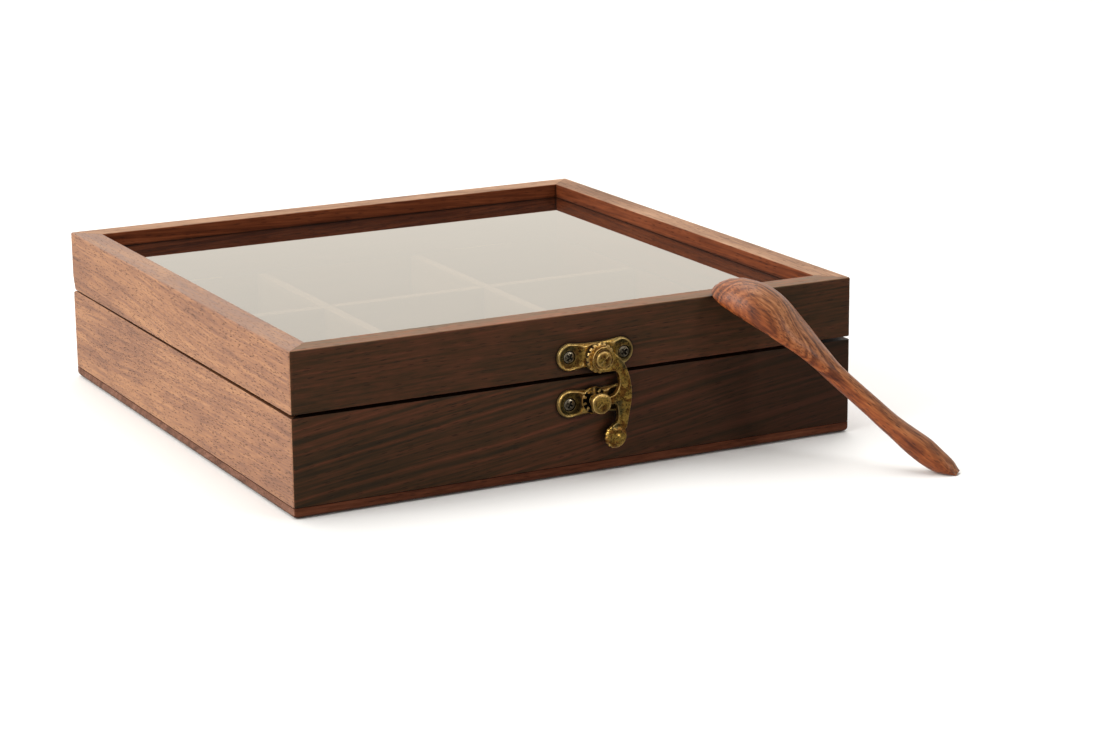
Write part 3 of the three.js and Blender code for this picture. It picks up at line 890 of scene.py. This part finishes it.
topPlate = {
    "name": "lid_latch_plate",
    "x0": -9.9,
    "x1": 17.45,
    "z": 39.7,
    "radius": 4.5,
    "waist": 3.8,
    "screws": [(-5.75, 39.75), (14.2, 39.2)],
    "boss": (4.95, 38.5),
    "bossRadius": 4.95,
    "bossTop": 2.65,
    "well": 0,
    "notches": 17,
    "notchDepth": 0.65,
    "bore": 1.6,
    "seed": 1.0,
}
lowerPlate = {
    "name": "tray_latch_plate",
    "x0": -10,
    "x1": 16.4,
    "z": 24.3,
    "radius": 4.5,
    "waist": 3.8,
    "screws": [(-5.75, 24.15), (12.2, 24.3)],
    "boss": (2.85, 24.7),
    "bossRadius": 4.45,
    "bossTop": 1.92,
    "well": 4.2,  # radius of the hollow round the post
    "notches": 10,
    "bore": 1.35,
    "seed": 7.0,
}
plateShape = {
    "back": 0.05,
    "rim": 1.5,
    "dish": 0.5,  # how far the ground round a screw lies below the rim
    "plateau": 1.95,
    "moat": 0.8,  # depth of the groove round the boss
    "wellMoat": 0.08,
    "moatWidth": 1.1,
    "edgeWidth": 0.55,  # the rim's rounding
    "edgeDrop": 0.5,
    "dishSpan": (4.3, 5.2),  # from the screw, where the dish runs out
    "plateauSpan": (4.6, 5.4),
    "lump": 0.09,
    "lumpScale": 0.55,
    "holeRadius": 2.25,
    "insets": [0, 0.08, 0.2, 0.38, 0.6, 0.85, 1.1, 1.4, 1.8, 2.2, 2.6, 3.0, 3.4, 3.8, 4.15, 4.5],
}


# Round ends joined by waisted edges, the left end and lower edge first
def plateOutline(plan, steps=26):
    r, z = plan["radius"], plan["z"]
    left, right = plan["x0"] + r, plan["x1"] - r
    points = []
    for start, end, side in ((left, right, 1), (right, left, -1)):
        for k in range(steps):
            angle = side * math.pi / 2 + math.pi * k / steps
            points.append((start + r * math.cos(angle), z + r * math.sin(angle)))
        for k in range(steps):
            t = k / steps
            a, b, c = (1 - t) ** 2, 2 * t * (1 - t), t * t
            x = a * start + b * (start + end) / 2 + c * end
            points.append((x, z - side * ((a + c) * r + b * (2 * plan["waist"] - r))))
    return points


# How far a plate's face stands out at a point, by its distance from the edge and the screws
def plateHeight(plan, x, z, inset):
    shape = plateShape
    near = min(math.hypot(x - sx, z - sz) for sx, sz in plan["screws"])
    edge = shape["edgeDrop"] * (1 - min(inset / shape["edgeWidth"], 1)) ** 2
    dish = shape["dish"] * (1 - rise(near, *shape["dishSpan"])) * rise(inset, 0.5, 0.9)
    between = rise(near, *shape["plateauSpan"]) * rise(inset, 0.2, 0.9)
    middle = (shape["plateau"] - shape["rim"]) * between
    fromBoss = math.hypot(x - plan["boss"][0], z - plan["boss"][1]) - plan["bossRadius"]
    deep = shape["wellMoat"] if plan["well"] else shape["moat"]
    moat = deep * max(0, 1 - abs(fromBoss) / shape["moatWidth"]) * rise(inset, 0.3, 0.8)
    spot = Vector((x * shape["lumpScale"], z * shape["lumpScale"], plan["seed"]))
    lumps = shape["lump"] * noise.noise(spot) * rise(inset, 0, 0.8)
    return shape["rim"] - edge - dish + middle + lumps - moat


def plateMesh(plan):
    outline = plateOutline(plan)
    left, right, z0 = plan["x0"] + plan["radius"], plan["x1"] - plan["radius"], plan["z"]
    rings = [[onFront(x, z, plateShape["back"]) for x, z in outline]]
    for inset in plateShape["insets"]:
        ring = []
        for x, z in outline:
            sx = min(max(x, left), right)
            away = math.hypot(x - sx, z - z0)
            share = min(inset / away, 1)
            px, pz = x + (sx - x) * share, z + (z0 - z) * share
            ring.append(onFront(px, pz, plateHeight(plan, px, pz, min(inset, away))))
        rings.append(ring)
    bm = bmesh.new()
    bm.faces.new(bridgeRings(bm, rings)[0])
    bmesh.ops.remove_doubles(bm, verts=bm.verts, dist=2e-6)
    bmesh.ops.dissolve_degenerate(bm, edges=bm.edges, dist=1e-6)
    bmesh.ops.holes_fill(bm, edges=[e for e in bm.edges if e.is_boundary], sides=0)
    bmesh.ops.triangulate(bm, faces=[f for f in bm.faces if len(f.verts) > 4])
    plate = meshFrom(bm, plan["name"] + "_mesh")
    hole = plateShape["holeRadius"]
    profile = [(hole - 0.5, -0.5), (hole - 0.5, 0.25), (hole, 0.75), (hole, 4)]
    tools = [turnedMesh(profile, 48, frontPlace(x, z)) for x, z in plan["screws"]]
    if plan["well"]:
        tools.append(turnedMesh([(plan["well"], 0.6), (plan["well"], 5)], 64, frontPlace(*plan["boss"])))
    plate = carve(plate, tools)
    return joined([plate, bossMesh(plan)], plan["name"] + "_mesh")


bossShape = {
    "foot": 0.4,  # how deep in the plate it starts
    "ribFrom": 2.8,
    "ribHalf": 0.36,
    "ribHeights": (0.5, 1.5),
    "ribEase": 0.15,
    "ribTurn": 0.45,
    "notchReach": 1.3,  # in from the washer's edge
    "ring": (1.2, 1.5),  # where the washer's raised ring ends
    "ringDrop": 0.45,
}


# What stands up round the rivet or the post: a notched washer, or a low wall with short ribs
def bossMesh(plan):
    place = frontPlace(*plan["boss"])
    foot, top, radius, count = bossShape["foot"], plan["bossTop"], plan["bossRadius"], plan["notches"]
    if plan["well"]:
        well = plan["well"]
        half, (low, high) = bossShape["ribHalf"], bossShape["ribHeights"]
        profile = [(well - 0.05, foot), (radius, foot), (radius, top - 0.25), (radius - 0.15, top - 0.05)]
        profile += [(well + 0.15, top), (well, top - 0.2)]
        parts = []
        for k in range(count):
            corners = ((bossShape["ribFrom"], -half, low), (well + 0.1, half, high))
            rib = blockMesh(*corners, bossShape["ribEase"])
            angle = 2 * math.pi * (k + bossShape["ribTurn"]) / count
            rib.transform(place @ Matrix.Rotation(angle, 4, "Z"))
            parts.append(rib)
        return joined([closedRing(profile, 72, place), *parts], "boss")

    def notch(angle, r, height):
        if r < radius - bossShape["notchReach"]:
            return 1.0
        dip = rise(math.cos(angle * count), 0.1, 0.85)
        return 1 - dip * plan["notchDepth"] / radius * rise(height, 0.9, 1.4)

    bore, (ringEnd, ringFoot), floor = plan["bore"], bossShape["ring"], top - bossShape["ringDrop"]
    profile = [(bore, foot), (radius, foot), (radius, 0.9), (radius, 1.4), (radius, top - 0.25)]
    profile += [(radius - 0.25, top), (radius - ringEnd, top), (radius - ringFoot, floor)]
    profile += [(bore + 0.5, floor), (bore, floor - 0.05)]
    return closedRing(profile, count * 12, place, notch)


# A ring with a bore: its profile runs round to where it began
def closedRing(profile, sides, place, shape=None):
    rings = []
    for r, height in profile:
        ring = []
        for k in range(sides):
            angle = 2 * math.pi * k / sides
            rr = r * (shape(angle, r, height) if shape else 1)
            ring.append(place @ Vector((rr * math.cos(angle), rr * math.sin(angle), height)))
        rings.append(ring)
    rings.append(rings[0])
    return skinRings(rings, "ring", closedEnds=False)


arm = {
    "pivot": topPlate["boss"],
    "hub": 4.15,
    "back": 2.8,
    "front": 4.7,
    "outer": [(10.56, 38.5), (13.15, 34.9), (14.7, 30), (15.1, 25), (14.4, 20.6), (13.2, 15)],
    "crook": [(8.3, 15.9), (9.9, 17.2), (10.2, 20), (9.8, 22.7)],
    "nib": [(9.2, 23.3), (5.5, 23.5), (5.3, 25.4)],
    "throat": [(8.6, 26.3), (10.1, 27.8), (10.8, 30.2), (10.3, 33), (9.2, 34.3)],
    "knob": (9.5, 12.3),
    "knobRadius": 3.95,
    "knobHalf": 1.5,
    "dimpleRadius": 2.6,
    "facetDepth": 0.3,
    "dimpleDepth": 0.2,
    "notches": 16,
    "notchDepth": 0.11,
    "hubGroove": (3.0, 0.35, 0.45),  # radius, half width, depth
    "lump": 0.12,
    "voxel": 0.16,
    "softening": 7,
}


def armOutline():
    px, pz = arm["pivot"]
    points = []
    for k in range(41):
        a = 1.5 * math.pi + (0.42 - 1.5) * math.pi * k / 40
        points.append((px + arm["hub"] * math.cos(a), pz + arm["hub"] * math.sin(a)))
    first = points[-1]
    points = points[:-1] + catmullRom([first, *arm["outer"]], 10)
    kx, kz = arm["knob"]
    points.append((kx + 1, kz))
    points += catmullRom([(kx - 1, kz), *arm["crook"]], 10)
    points += arm["nib"][:2]
    points += catmullRom([arm["nib"][2], *arm["throat"]], 8)
    return points


def voxelJoin(meshes, voxel, softening, name):
    mesh = joined(meshes, name)
    helper = bpy.data.objects.new("shaping", mesh)
    bpy.context.scene.collection.objects.link(helper)
    remesh = helper.modifiers.new("remesh", "REMESH")
    remesh.mode = "VOXEL"
    remesh.voxel_size = voxel * mm
    soft = helper.modifiers.new("soften", "SMOOTH")
    soft.factor = 0.5
    soft.iterations = softening
    bpy.context.view_layer.update()
    graph = bpy.context.evaluated_depsgraph_get()
    result = bpy.data.meshes.new_from_object(helper.evaluated_get(graph))
    bpy.data.objects.remove(helper)
    result.name = name
    return result


def armMesh():
    outline = [onFront(x, z, arm["back"]) for x, z in armOutline()]
    bm = pushOutline(outline, (0, (arm["back"] - arm["front"]) * mm, 0))
    bmesh.ops.triangulate(bm, faces=[f for f in bm.faces if len(f.verts) > 4])
    shank = meshFrom(bm, "shank")
    middle = (arm["back"] + arm["front"]) / 2
    lens = []
    for k in range(13):
        a = math.pi * k / 12
        radius = max(arm["knobRadius"] * math.sin(a) ** 0.7, 0.02)
        lens.append((radius, middle - arm["knobHalf"] * math.cos(a)))
    knob = turnedMesh(lens, 48, frontPlace(*arm["knob"]))
    mesh = voxelJoin([shank, knob], arm["voxel"], arm["softening"], "latch_arm_mesh")
    for v in mesh.vertices:
        v.co = castFinish(v.co / mm, middle) * mm
    return mesh


# The cast face's unevenness, the groove round the hub, and the knob's dimple and notched edge
def castFinish(spot, middle):
    x, z, out = spot.x, spot.z, -spot.y - box["half"]
    (px, pz), (kx, kz) = arm["pivot"], arm["knob"]
    dimple, full = arm["dimpleRadius"], arm["knobRadius"]
    fromKnob = math.hypot(x - kx, z - kz)
    radius, half, depth = arm["hubGroove"]
    groove = depth * max(0, 1 - abs(math.hypot(x - px, z - pz) - radius) / half)
    facet = arm["facetDepth"] * noise.noise(Vector((x * 0.7, z * 0.7, 8.1)))
    ridge = facet * rise(fromKnob, full + 0.05, dimple) - arm["dimpleDepth"] * rise(fromKnob, dimple, 1.0)
    lump = arm["lump"] * noise.noise(Vector((x * 0.5, z * 0.5, 3.3)))
    raised = rise(out, middle, arm["front"] - 0.3) * (lump + ridge - groove)
    around = math.atan2(z - kz, x - kx)
    onEdge = rise(fromKnob, full - 1.05, full - 0.15) * rise(-math.cos(around), 0.1, 0.6)
    notch = arm["notchDepth"] * math.sin(arm["notches"] * around) * onEdge
    return spot + Vector((notch * math.cos(around), -raised, notch * math.sin(around)))


rivet = {
    "at": topPlate["boss"],
    "profile": [
        (1.4, 0.0),
        (1.4, 4.3),
        (2.5, 4.3),
        (2.62, 4.75),
        (2.5, 4.95),
        (2.2, 5.05),
        (1.3, 5.12),
        (0.05, 5.15),
    ],
}
post = {
    "at": lowerPlate["boss"],
    "profile": [
        (1.2, 0.0),
        (1.2, 1.8),
        (2.0, 1.9),
        (1.9, 3.0),
        (1.85, 5.3),
        (2.6, 5.45),
        (3.25, 5.55),
        (3.38, 5.75),
        (3.4, 6.75),
        (3.3, 7.05),
        (3.05, 7.25),
        (2.4, 7.38),
        (1.2, 7.45),
        (0.05, 7.5),
    ],
}


# Leaves the edge of a cast head a little uneven
def castWobble(seed, depth):
    def wobble(angle, height):
        spot = Vector((math.cos(angle) * 1.6, math.sin(angle) * 1.6, seed + height * 0.3))
        return 1 + depth * noise.noise(spot)

    return wobble


screwShape = {
    "length": 4,
    "radius": 1.88,
    "rimOut": 0.85,
    "crownOut": 1.3,
    "shank": 0.9,
    "slotWidth": 0.8,
    "slotReach": 1.6,
    "slotDepth": 1.05,
}
# For each latch screw: its place, how its slots are turned, and its body
latchScrews = {
    "latch_screw_1": (topPlate["screws"][0], 52, "lid"),
    "latch_screw_2": (topPlate["screws"][1], 38, "lid"),
    "latch_screw_3": (lowerPlate["screws"][0], 61, "base"),
    "latch_screw_4": (lowerPlate["screws"][1], 20, "base"),
}


# A cross-head screw with its crown at +Z, its slots turned by an angle
def screwMesh(shape, turn, place):
    depth = shape["length"]
    r, crown, rim, shank = shape["radius"], shape["crownOut"], shape["rimOut"], shape["shank"]
    profile = [(0.05, -depth), (shank * 0.5, -depth), (shank, -depth * 0.7), (shank, rim - 0.9)]
    profile += [(r, rim - 0.12), (r, rim)]
    cuts = 6
    for k in range(1, cuts + 1):
        a = k / cuts * math.pi / 2
        profile.append((max(r * math.cos(a) * 0.98, 0.05), rim + (crown - rim) * math.sin(a)))
    head = turnedMesh(profile, 40)
    w, reach, low = shape["slotWidth"] / 2, shape["slotReach"], crown - shape["slotDepth"]
    tools = []
    for quarter in (0, 90):
        slot = blockMesh((-reach, -w, low), (reach, w, crown + 1))
        for v in slot.vertices:
            if v.co.z < crown:
                v.co.x *= 0.7
        slot.transform(Matrix.Rotation(math.radians(turn + quarter), 4, "Z"))
        tools.append(slot)
    mesh = carve(head, tools)
    mesh.transform(place)
    return mesh


print("latch")
# Below these depths from the middle of the box, m, the plates' grounds turn olive with patina; on the lower
# plate the deepest ground is painted near-black, as shade
topSunk = [(-0.1029, 0.4, "olive")]
lowSunk = [(-0.1029, 0.75, "olive"), (-0.1027, 0.95, "crevice")]
plateBrass = brassMaterial("plateBrass", dict(oldBrass, edgeAt=0.57, sunk=topSunk), 0.013)
lowPlateBrass = brassMaterial("lowPlateBrass", dict(oldBrass, edgeAt=0.57, sunk=lowSunk), 0.019)
armBrass = brassMaterial("armBrass", oldBrass, 0.029)
bronze = brassMaterial("screwBronze", darkBronze, 0.041)


def turnedHead(head, seed, unevenness):
    return turnedMesh(head["profile"], 56, frontPlace(*head["at"]), castWobble(seed, unevenness))


def addBrass(name, mesh, body, metal, nodeName, sharpAngle=60):
    addPiece(name, mesh, body, metal, [nodeName], sharpAngle=sharpAngle)


addBrass("lid_latch_plate", plateMesh(topPlate), "lid", plateBrass, "latch_top_plate")
addBrass("tray_latch_plate", plateMesh(lowerPlate), "base", lowPlateBrass, "latch_lower_plate")
addBrass("hook_arm", armMesh(), "latch_arm", armBrass, "latch_arm", 180)
addBrass("hook_rivet", turnedHead(rivet, 1.0, 0.02), "lid", armBrass, "latch_rivet")
addBrass("hook_post", turnedHead(post, 5.0, 0.07), "base", armBrass, "latch_post")
for node, (spot, turn, body) in latchScrews.items():
    mesh = screwMesh(screwShape, turn, frontPlace(*spot))
    addPiece(node.replace("latch", "plate"), mesh, body, bronze, [node], sharpAngle=40)


hingeShape = {
    "leaf": 0.9,  # thickness
    "inner": 8.7,  # the leaf's two long edges, in from the back face
    "outer": 4.7,
    "offset": 0.25,  # leaf's inner face from the pin axis
    "knuckle": 1.9,
    "bore": 0.9,
    "pin": 0.78,
    "pinDome": 0.35,
    "endKnuckle": 8,
    "gap": 0.3,
    "screwX": 8,
    "screwTurns": (55, 80),
    "countersink": 1.45,
    "pilot": 0.9,
    "ease": 0.12,
    "neckIn": 0.4,  # where the leaf runs into its knuckles
    "neckOut": 0.9,
    "neckEase": 0.08,
    "knuckleEase": 0.2,
}
hingeScrew = {
    "length": 5,
    "radius": 1.3,
    "rimOut": 0.0,
    "crownOut": 0.08,
    "shank": 0.7,
    "slotWidth": 0.4,
    "slotReach": 0.9,
    "slotDepth": 0.5,
}


def leafScrewPlace(centre, sign):
    shape = hingeShape
    y = box["half"] - (shape["inner"] + shape["outer"]) / 2
    spot = Vector((centre + sign * shape["screwX"], y, hinge["z"] - shape["offset"]))
    return Matrix.Translation(spot * mm) @ Matrix.Scale(mm, 4)


# A leaf with its rolled knuckles, drawn for the tray; the lid's is the same turned over
def hingeLeafMesh(centre, ofLid):
    shape = hingeShape
    half, r, bore, ease = hinge["length"] / 2, shape["knuckle"], shape["bore"], shape["knuckleEase"]
    face = hinge["z"] - shape["offset"]
    low = face - shape["leaf"]
    inner, outer = box["half"] - shape["inner"], box["half"] - shape["outer"]
    middle = half - shape["endKnuckle"] - shape["gap"]
    spans = [(-middle, middle)]
    if not ofLid:
        spans = [(-half, -half + shape["endKnuckle"]), (half - shape["endKnuckle"], half)]
    corners = (Vector((centre - half, inner, low)), Vector((centre + half, outer, face)))
    plate = blockMesh(corners[0] * mm, corners[1] * mm, shape["ease"] * mm)
    necks = []
    for start, end in spans:
        near = Vector((centre + start, outer - shape["neckIn"], low))
        far = Vector((centre + end, outer + shape["neckOut"], face))
        necks.append(blockMesh(near * mm, far * mm, shape["neckEase"] * mm))
    plate = carve(plate, necks, "UNION")
    sink, pilot = shape["countersink"], shape["pilot"]
    profile = [(pilot, -2), (pilot, -0.5), (sink, 0), (sink, 1)]
    plate = carve(plate, [turnedMesh(profile, 40, leafScrewPlace(centre, sign)) for sign in (-1, 1)])
    rolls = []
    for start, end in spans:
        length = end - start
        profile = [(bore, 0), (r - ease, 0), (r, ease)]
        profile += [(r, length - ease), (r - ease, length), (bore, length)]
        rolls.append(closedRing(profile, 48, alongPin(centre + start)))
    mesh = joined([plate, *rolls], "hinge_leaf_mesh")
    if ofLid:
        turnOver(mesh)
    return mesh


def turnOver(mesh):
    for v in mesh.vertices:
        v.co.z = 2 * hinge["z"] * mm - v.co.z
    mesh.flip_normals()


def pinMesh(centre):
    length, r, dome = hinge["length"], hingeShape["pin"], hingeShape["pinDome"]
    start = [(0.05, 0), (r * 0.7, 0.08), (r, dome)]
    end = [(radius, length - height) for radius, height in reversed(start)]
    return turnedMesh(start + end, 32, alongPin(centre - length / 2))


print("hinges")
hingeBrass = brassMaterial("hingeBrass", dict(oldBrass, edgeAt=0.62, metal=(0.42, 0.25, 0.075)), 0.051)
for side, sign in (("left", -1), ("right", 1)):
    centre = sign * hinge["x"]
    for body, ofLid in (("base", False), ("lid", True)):
        leaf = hingeLeafMesh(centre, ofLid)
        addBrass(f"{side}_{body}_hinge_leaf", leaf, body, hingeBrass, f"hinge_{side}_{body}_leaf", 35)
        for number, shift in ((1, -1), (2, 1)):
            turn = hingeShape["screwTurns"][number - 1]
            screw = screwMesh(hingeScrew, turn, leafScrewPlace(centre, shift))
            if ofLid:
                turnOver(screw)
            node = f"hinge_{side}_{body}_screw_{number}"
            addPiece(f"{side}_{body}_hinge_screw_{number}", screw, body, bronze, [node])
    addBrass(f"{side}_hinge_pin", pinMesh(centre), "base", hingeBrass, f"hinge_{side}_pin", 35)


spoon = {
    "tip": (104.4, -161.8, 1),
    "heading": (-0.671, 0.742, 0),
    "slope": 33.2,
    "roll": -10,
    "wall": 1.7,
    "lip": 1.3,
    "hollow": (62.0, 96.0),
    "rings": 96,
    "across": 26,
    "carving": 0.12,  # how uneven the knife left it
    "carvingScale": 0.16,
    "foot": 0.05,  # lowest point above the floor
    "stations": [  # along it: the upper side, the widest line, the lower side, half the width
        (0, -0.3, -0.8, -1.3, 2.2),
        (3, 1.2, -1.3, -3.4, 3.2),
        (6, 2.0, -1.5, -5.0, 3.7),
        (14, 2.8, -1.6, -5.5, 4.3),
        (26, 2.5, -0.9, -4.2, 3.8),
        (40, 3.8, 0.6, -2.6, 3.2),
        (51, 5.1, 2.0, -1.4, 3.6),
        (60, 6.9, 3.1, 1.0, 6.0),
        (69, 9.0, 4.0, 3.2, 8.7),
        (78, 11.9, 3.8, 3.4, 9.6),
        (86, 12.1, 2.8, 2.4, 9),
        (93, 9.5, 1.4, 1, 7.4),
        (96.5, 6.6, 0.8, 0.3, 5.4),
        (98.4, 4.0, 0.4, 0.0, 3.3),
        (99.2, 2.0, 0.3, 0.0, 1.5),
    ],
}


def spoonAt(s):
    stations = spoon["stations"]
    i = max(k for k in range(len(stations) - 1) if stations[k][0] <= s or k == 0)
    near = [stations[min(max(i + k, 0), len(stations) - 1)] for k in (-1, 0, 1, 2)]
    t = (s - near[1][0]) / (near[2][0] - near[1][0])
    values = []
    for n in range(1, 5):
        a, b, c, d = (station[n] for station in near)
        values.append(b + 0.5 * t * (c - a + t * (2 * a - 5 * b + 4 * c - d + t * (3 * (b - c) + d - a))))
    return values


def spoonMesh():
    count, sides = spoon["rings"], spoon["across"]
    length = spoon["stations"][-1][0]
    start, end = spoon["hollow"]
    rings = []
    for step in range(count + 1):
        s = length * (0.5 - 0.5 * math.cos(math.pi * step / count))
        top, mid, low, half = spoonAt(s)
        share = min(max((s - start) / (end - start), 0), 1)
        deep = math.sqrt(max(math.sin(math.pi * share), 0)) if 0 < share < 1 else 0
        ring = []
        for k in range(sides + 1):
            a = math.pi * k / sides
            ring.append((s, mid + (top - mid) * math.sin(a), -half * math.cos(a)))
        inside = max((half - spoon["lip"]) / half, 0.1)
        for k in range(1, sides):
            a = math.pi * k / sides
            v = math.cos(a)
            under = mid - (mid - low) * math.sin(a)
            bowl = math.sqrt(max(1 - (v / inside) ** 2, 0)) if abs(v) < inside else 0
            roof = top - spoon["wall"] - under
            ring.append((s, under + max(roof, 0) * bowl * deep, half * v))
        rings.append([Vector(p) * mm for p in ring])
    mesh = skinRings(rings, "spoon_mesh")
    place = spoonPlace()
    back = place.inverted()
    for v in mesh.vertices:
        spot = Vector(v.co) / mm * spoon["carvingScale"]
        v.co.y += spoon["carving"] * mm * noise.noise(spot)
        v.co.z += 0.85 * spoon["carving"] * mm * noise.noise(spot + Vector((9, 9, 9)))
        at = place @ v.co
        at.z = max(at.z, spoon["foot"] * mm)  # the handle's end is flat where it rests
        v.co = back @ at
    return mesh


def spoonPlace():
    heading = Vector(spoon["heading"]).normalized()
    slope = math.radians(spoon["slope"])
    along = heading * math.cos(slope) + Vector((0, 0, math.sin(slope)))
    across = Vector((heading.y, -heading.x, 0))
    up = across.cross(along)
    turn = Matrix((along, up, across)).transposed().to_4x4()
    roll = Matrix.Rotation(math.radians(spoon["roll"]), 4, "X")
    return Matrix.Translation(Vector(spoon["tip"]) * mm) @ turn @ roll


print("spoon")
spoonFinish = woodMaterial("spoonWood", spoonWood, 0, 0, 0.0)
addPiece("carved_spoon", spoonMesh(), "spoon", spoonFinish, ["spoon"], spoonPlace(), 70)


print("floor, light and camera")


studio = {
    "floorSize": 12,
    "floorDrop": 0.0001,
    "skyBack": 1.15,  # brightness behind the box
    "skyFront": 0.24,
    "mirrorBack": 0.6,  # what stands in for the floor in reflections
    "mirrorFront": 0.12,
    "skySpan": (-0.7, 0.3),
    "horizon": (-0.08, 0.02),
    "skyTint": (1.0, 0.965, 0.90),
    "backdrop": 1.2,
}


def floorMaterial():
    material, tree, output = newMaterial("paleFloor")
    where = addNode(tree, "ShaderNodeTexCoord").outputs["Object"]
    cloud = speckle(tree, where, (3, 3, 3), 3).outputs[0]
    colour = ramp(tree, cloud, [(0.3, (0.83, 0.83, 0.83)), (0.7, (0.87, 0.87, 0.87))])
    shader = addNode(tree, "ShaderNodeBsdfPrincipled", {"Base Color": colour, "Roughness": 0.7})
    tree.links.new(shader.outputs[0], output.inputs[0])
    return material


def addFloor():
    bm = bmesh.new()
    bmesh.ops.create_grid(bm, x_segments=24, y_segments=24, size=studio["floorSize"])
    floor = bpy.data.objects.new("floor", meshFrom(bm, "floor_mesh"))
    bpy.context.scene.collection.objects.link(floor)
    floor.location.z = cadBox[0].z - studio["floorDrop"]
    floor.data.materials.append(floorMaterial())
    floor.visible_glossy = False


def addSky():
    world = bpy.data.worlds.new("softRoom")
    bpy.context.scene.world = world
    world.use_nodes = True
    tree = world.node_tree
    tree.nodes.clear()
    where = addNode(tree, "ShaderNodeTexCoord").outputs["Generated"]
    parts = addNode(tree, "ShaderNodeSeparateXYZ", {0: where}).outputs
    side = sums(tree, "SUBTRACT", parts["Y"], sums(tree, "MULTIPLY", parts["X"], 0.3))
    above = remap(tree, side, *studio["skySpan"], studio["skyFront"], studio["skyBack"])
    below = remap(tree, side, *studio["skySpan"], studio["mirrorFront"], studio["mirrorBack"])
    lift = remap(tree, parts["Z"], *studio["horizon"])
    spread = addNode(tree, "ShaderNodeMix", {0: lift, 2: below, 3: above}, data_type="FLOAT")
    inputs = {"Color": (*studio["skyTint"], 1), "Strength": spread.outputs[0]}
    room = addNode(tree, "ShaderNodeBackground", inputs)
    backdrop = {"Color": (1, 1, 1, 1), "Strength": studio["backdrop"]}
    seen = addNode(tree, "ShaderNodeBackground", backdrop)
    path = addNode(tree, "ShaderNodeLightPath").outputs["Is Camera Ray"]
    mixed = addNode(tree, "ShaderNodeMixShader", {0: path, 1: room.outputs[0], 2: seen.outputs[0]})
    output = addNode(tree, "ShaderNodeOutputWorld")
    tree.links.new(mixed.outputs[0], output.inputs[0])


lamps = {
    "leftKey": {
        "at": (-1.5, -0.1, 1.0),
        "aim": (0, 0, 0.03),
        "size": (1.1, 0.9),
        "power": 20,
        "colour": (1, 0.98, 0.95),
    },
    "overhead": {
        "at": (0.1, 0.35, 1.7),
        "aim": (0, 0, 0),
        "size": (1.6, 1.4),
        "power": 18,
        "colour": (1, 1, 1),
    },
    "frontFill": {
        "at": (0.9, -1.5, 0.8),
        "aim": (0, 0, 0.03),
        "size": (0.25, 0.25),
        "power": 5.5,
        "colour": (1, 0.98, 0.96),
    },
}


def addLamps():
    for name, lamp in lamps.items():
        data = bpy.data.lights.new(name, "AREA")
        data.shape = "RECTANGLE"
        data.size, data.size_y = lamp["size"]
        data.energy = lamp["power"]
        data.color = lamp["colour"]
        o = bpy.data.objects.new(name, data)
        bpy.context.scene.collection.objects.link(o)
        o.location = lamp["at"]
        o.rotation_mode = "QUATERNION"
        o.rotation_quaternion = (Vector(lamp["aim"]) - Vector(lamp["at"])).to_track_quat("-Z", "Y")


eye = {
    "at": (-0.4362, -0.9136, 0.2748),
    "back": (-0.448, -0.858, 0.251),  # the way it points, reversed
    "roll": -0.57,
    "lens": 97.25,
    "sensor": 36,
}


def addCamera():
    data = bpy.data.cameras.new("camera")
    data.lens = eye["lens"]
    data.sensor_width = eye["sensor"]
    data.clip_start, data.clip_end = 0.01, 100
    camera = bpy.data.objects.new("camera", data)
    bpy.context.scene.collection.objects.link(camera)
    back = Vector(eye["back"]).normalized()
    right = Vector((0, 0, 1)).cross(back).normalized()
    up = back.cross(right)
    turn = Matrix((right, up, back)).transposed() @ Matrix.Rotation(math.radians(eye["roll"]), 3, "Z")
    camera.matrix_world = Matrix.Translation(eye["at"]) @ turn.to_4x4()
    bpy.context.scene.camera = camera


addFloor()
addSky()
addLamps()
addCamera()
bpy.context.scene.view_settings.view_transform = "Standard"

bpy.context.view_layer.update()
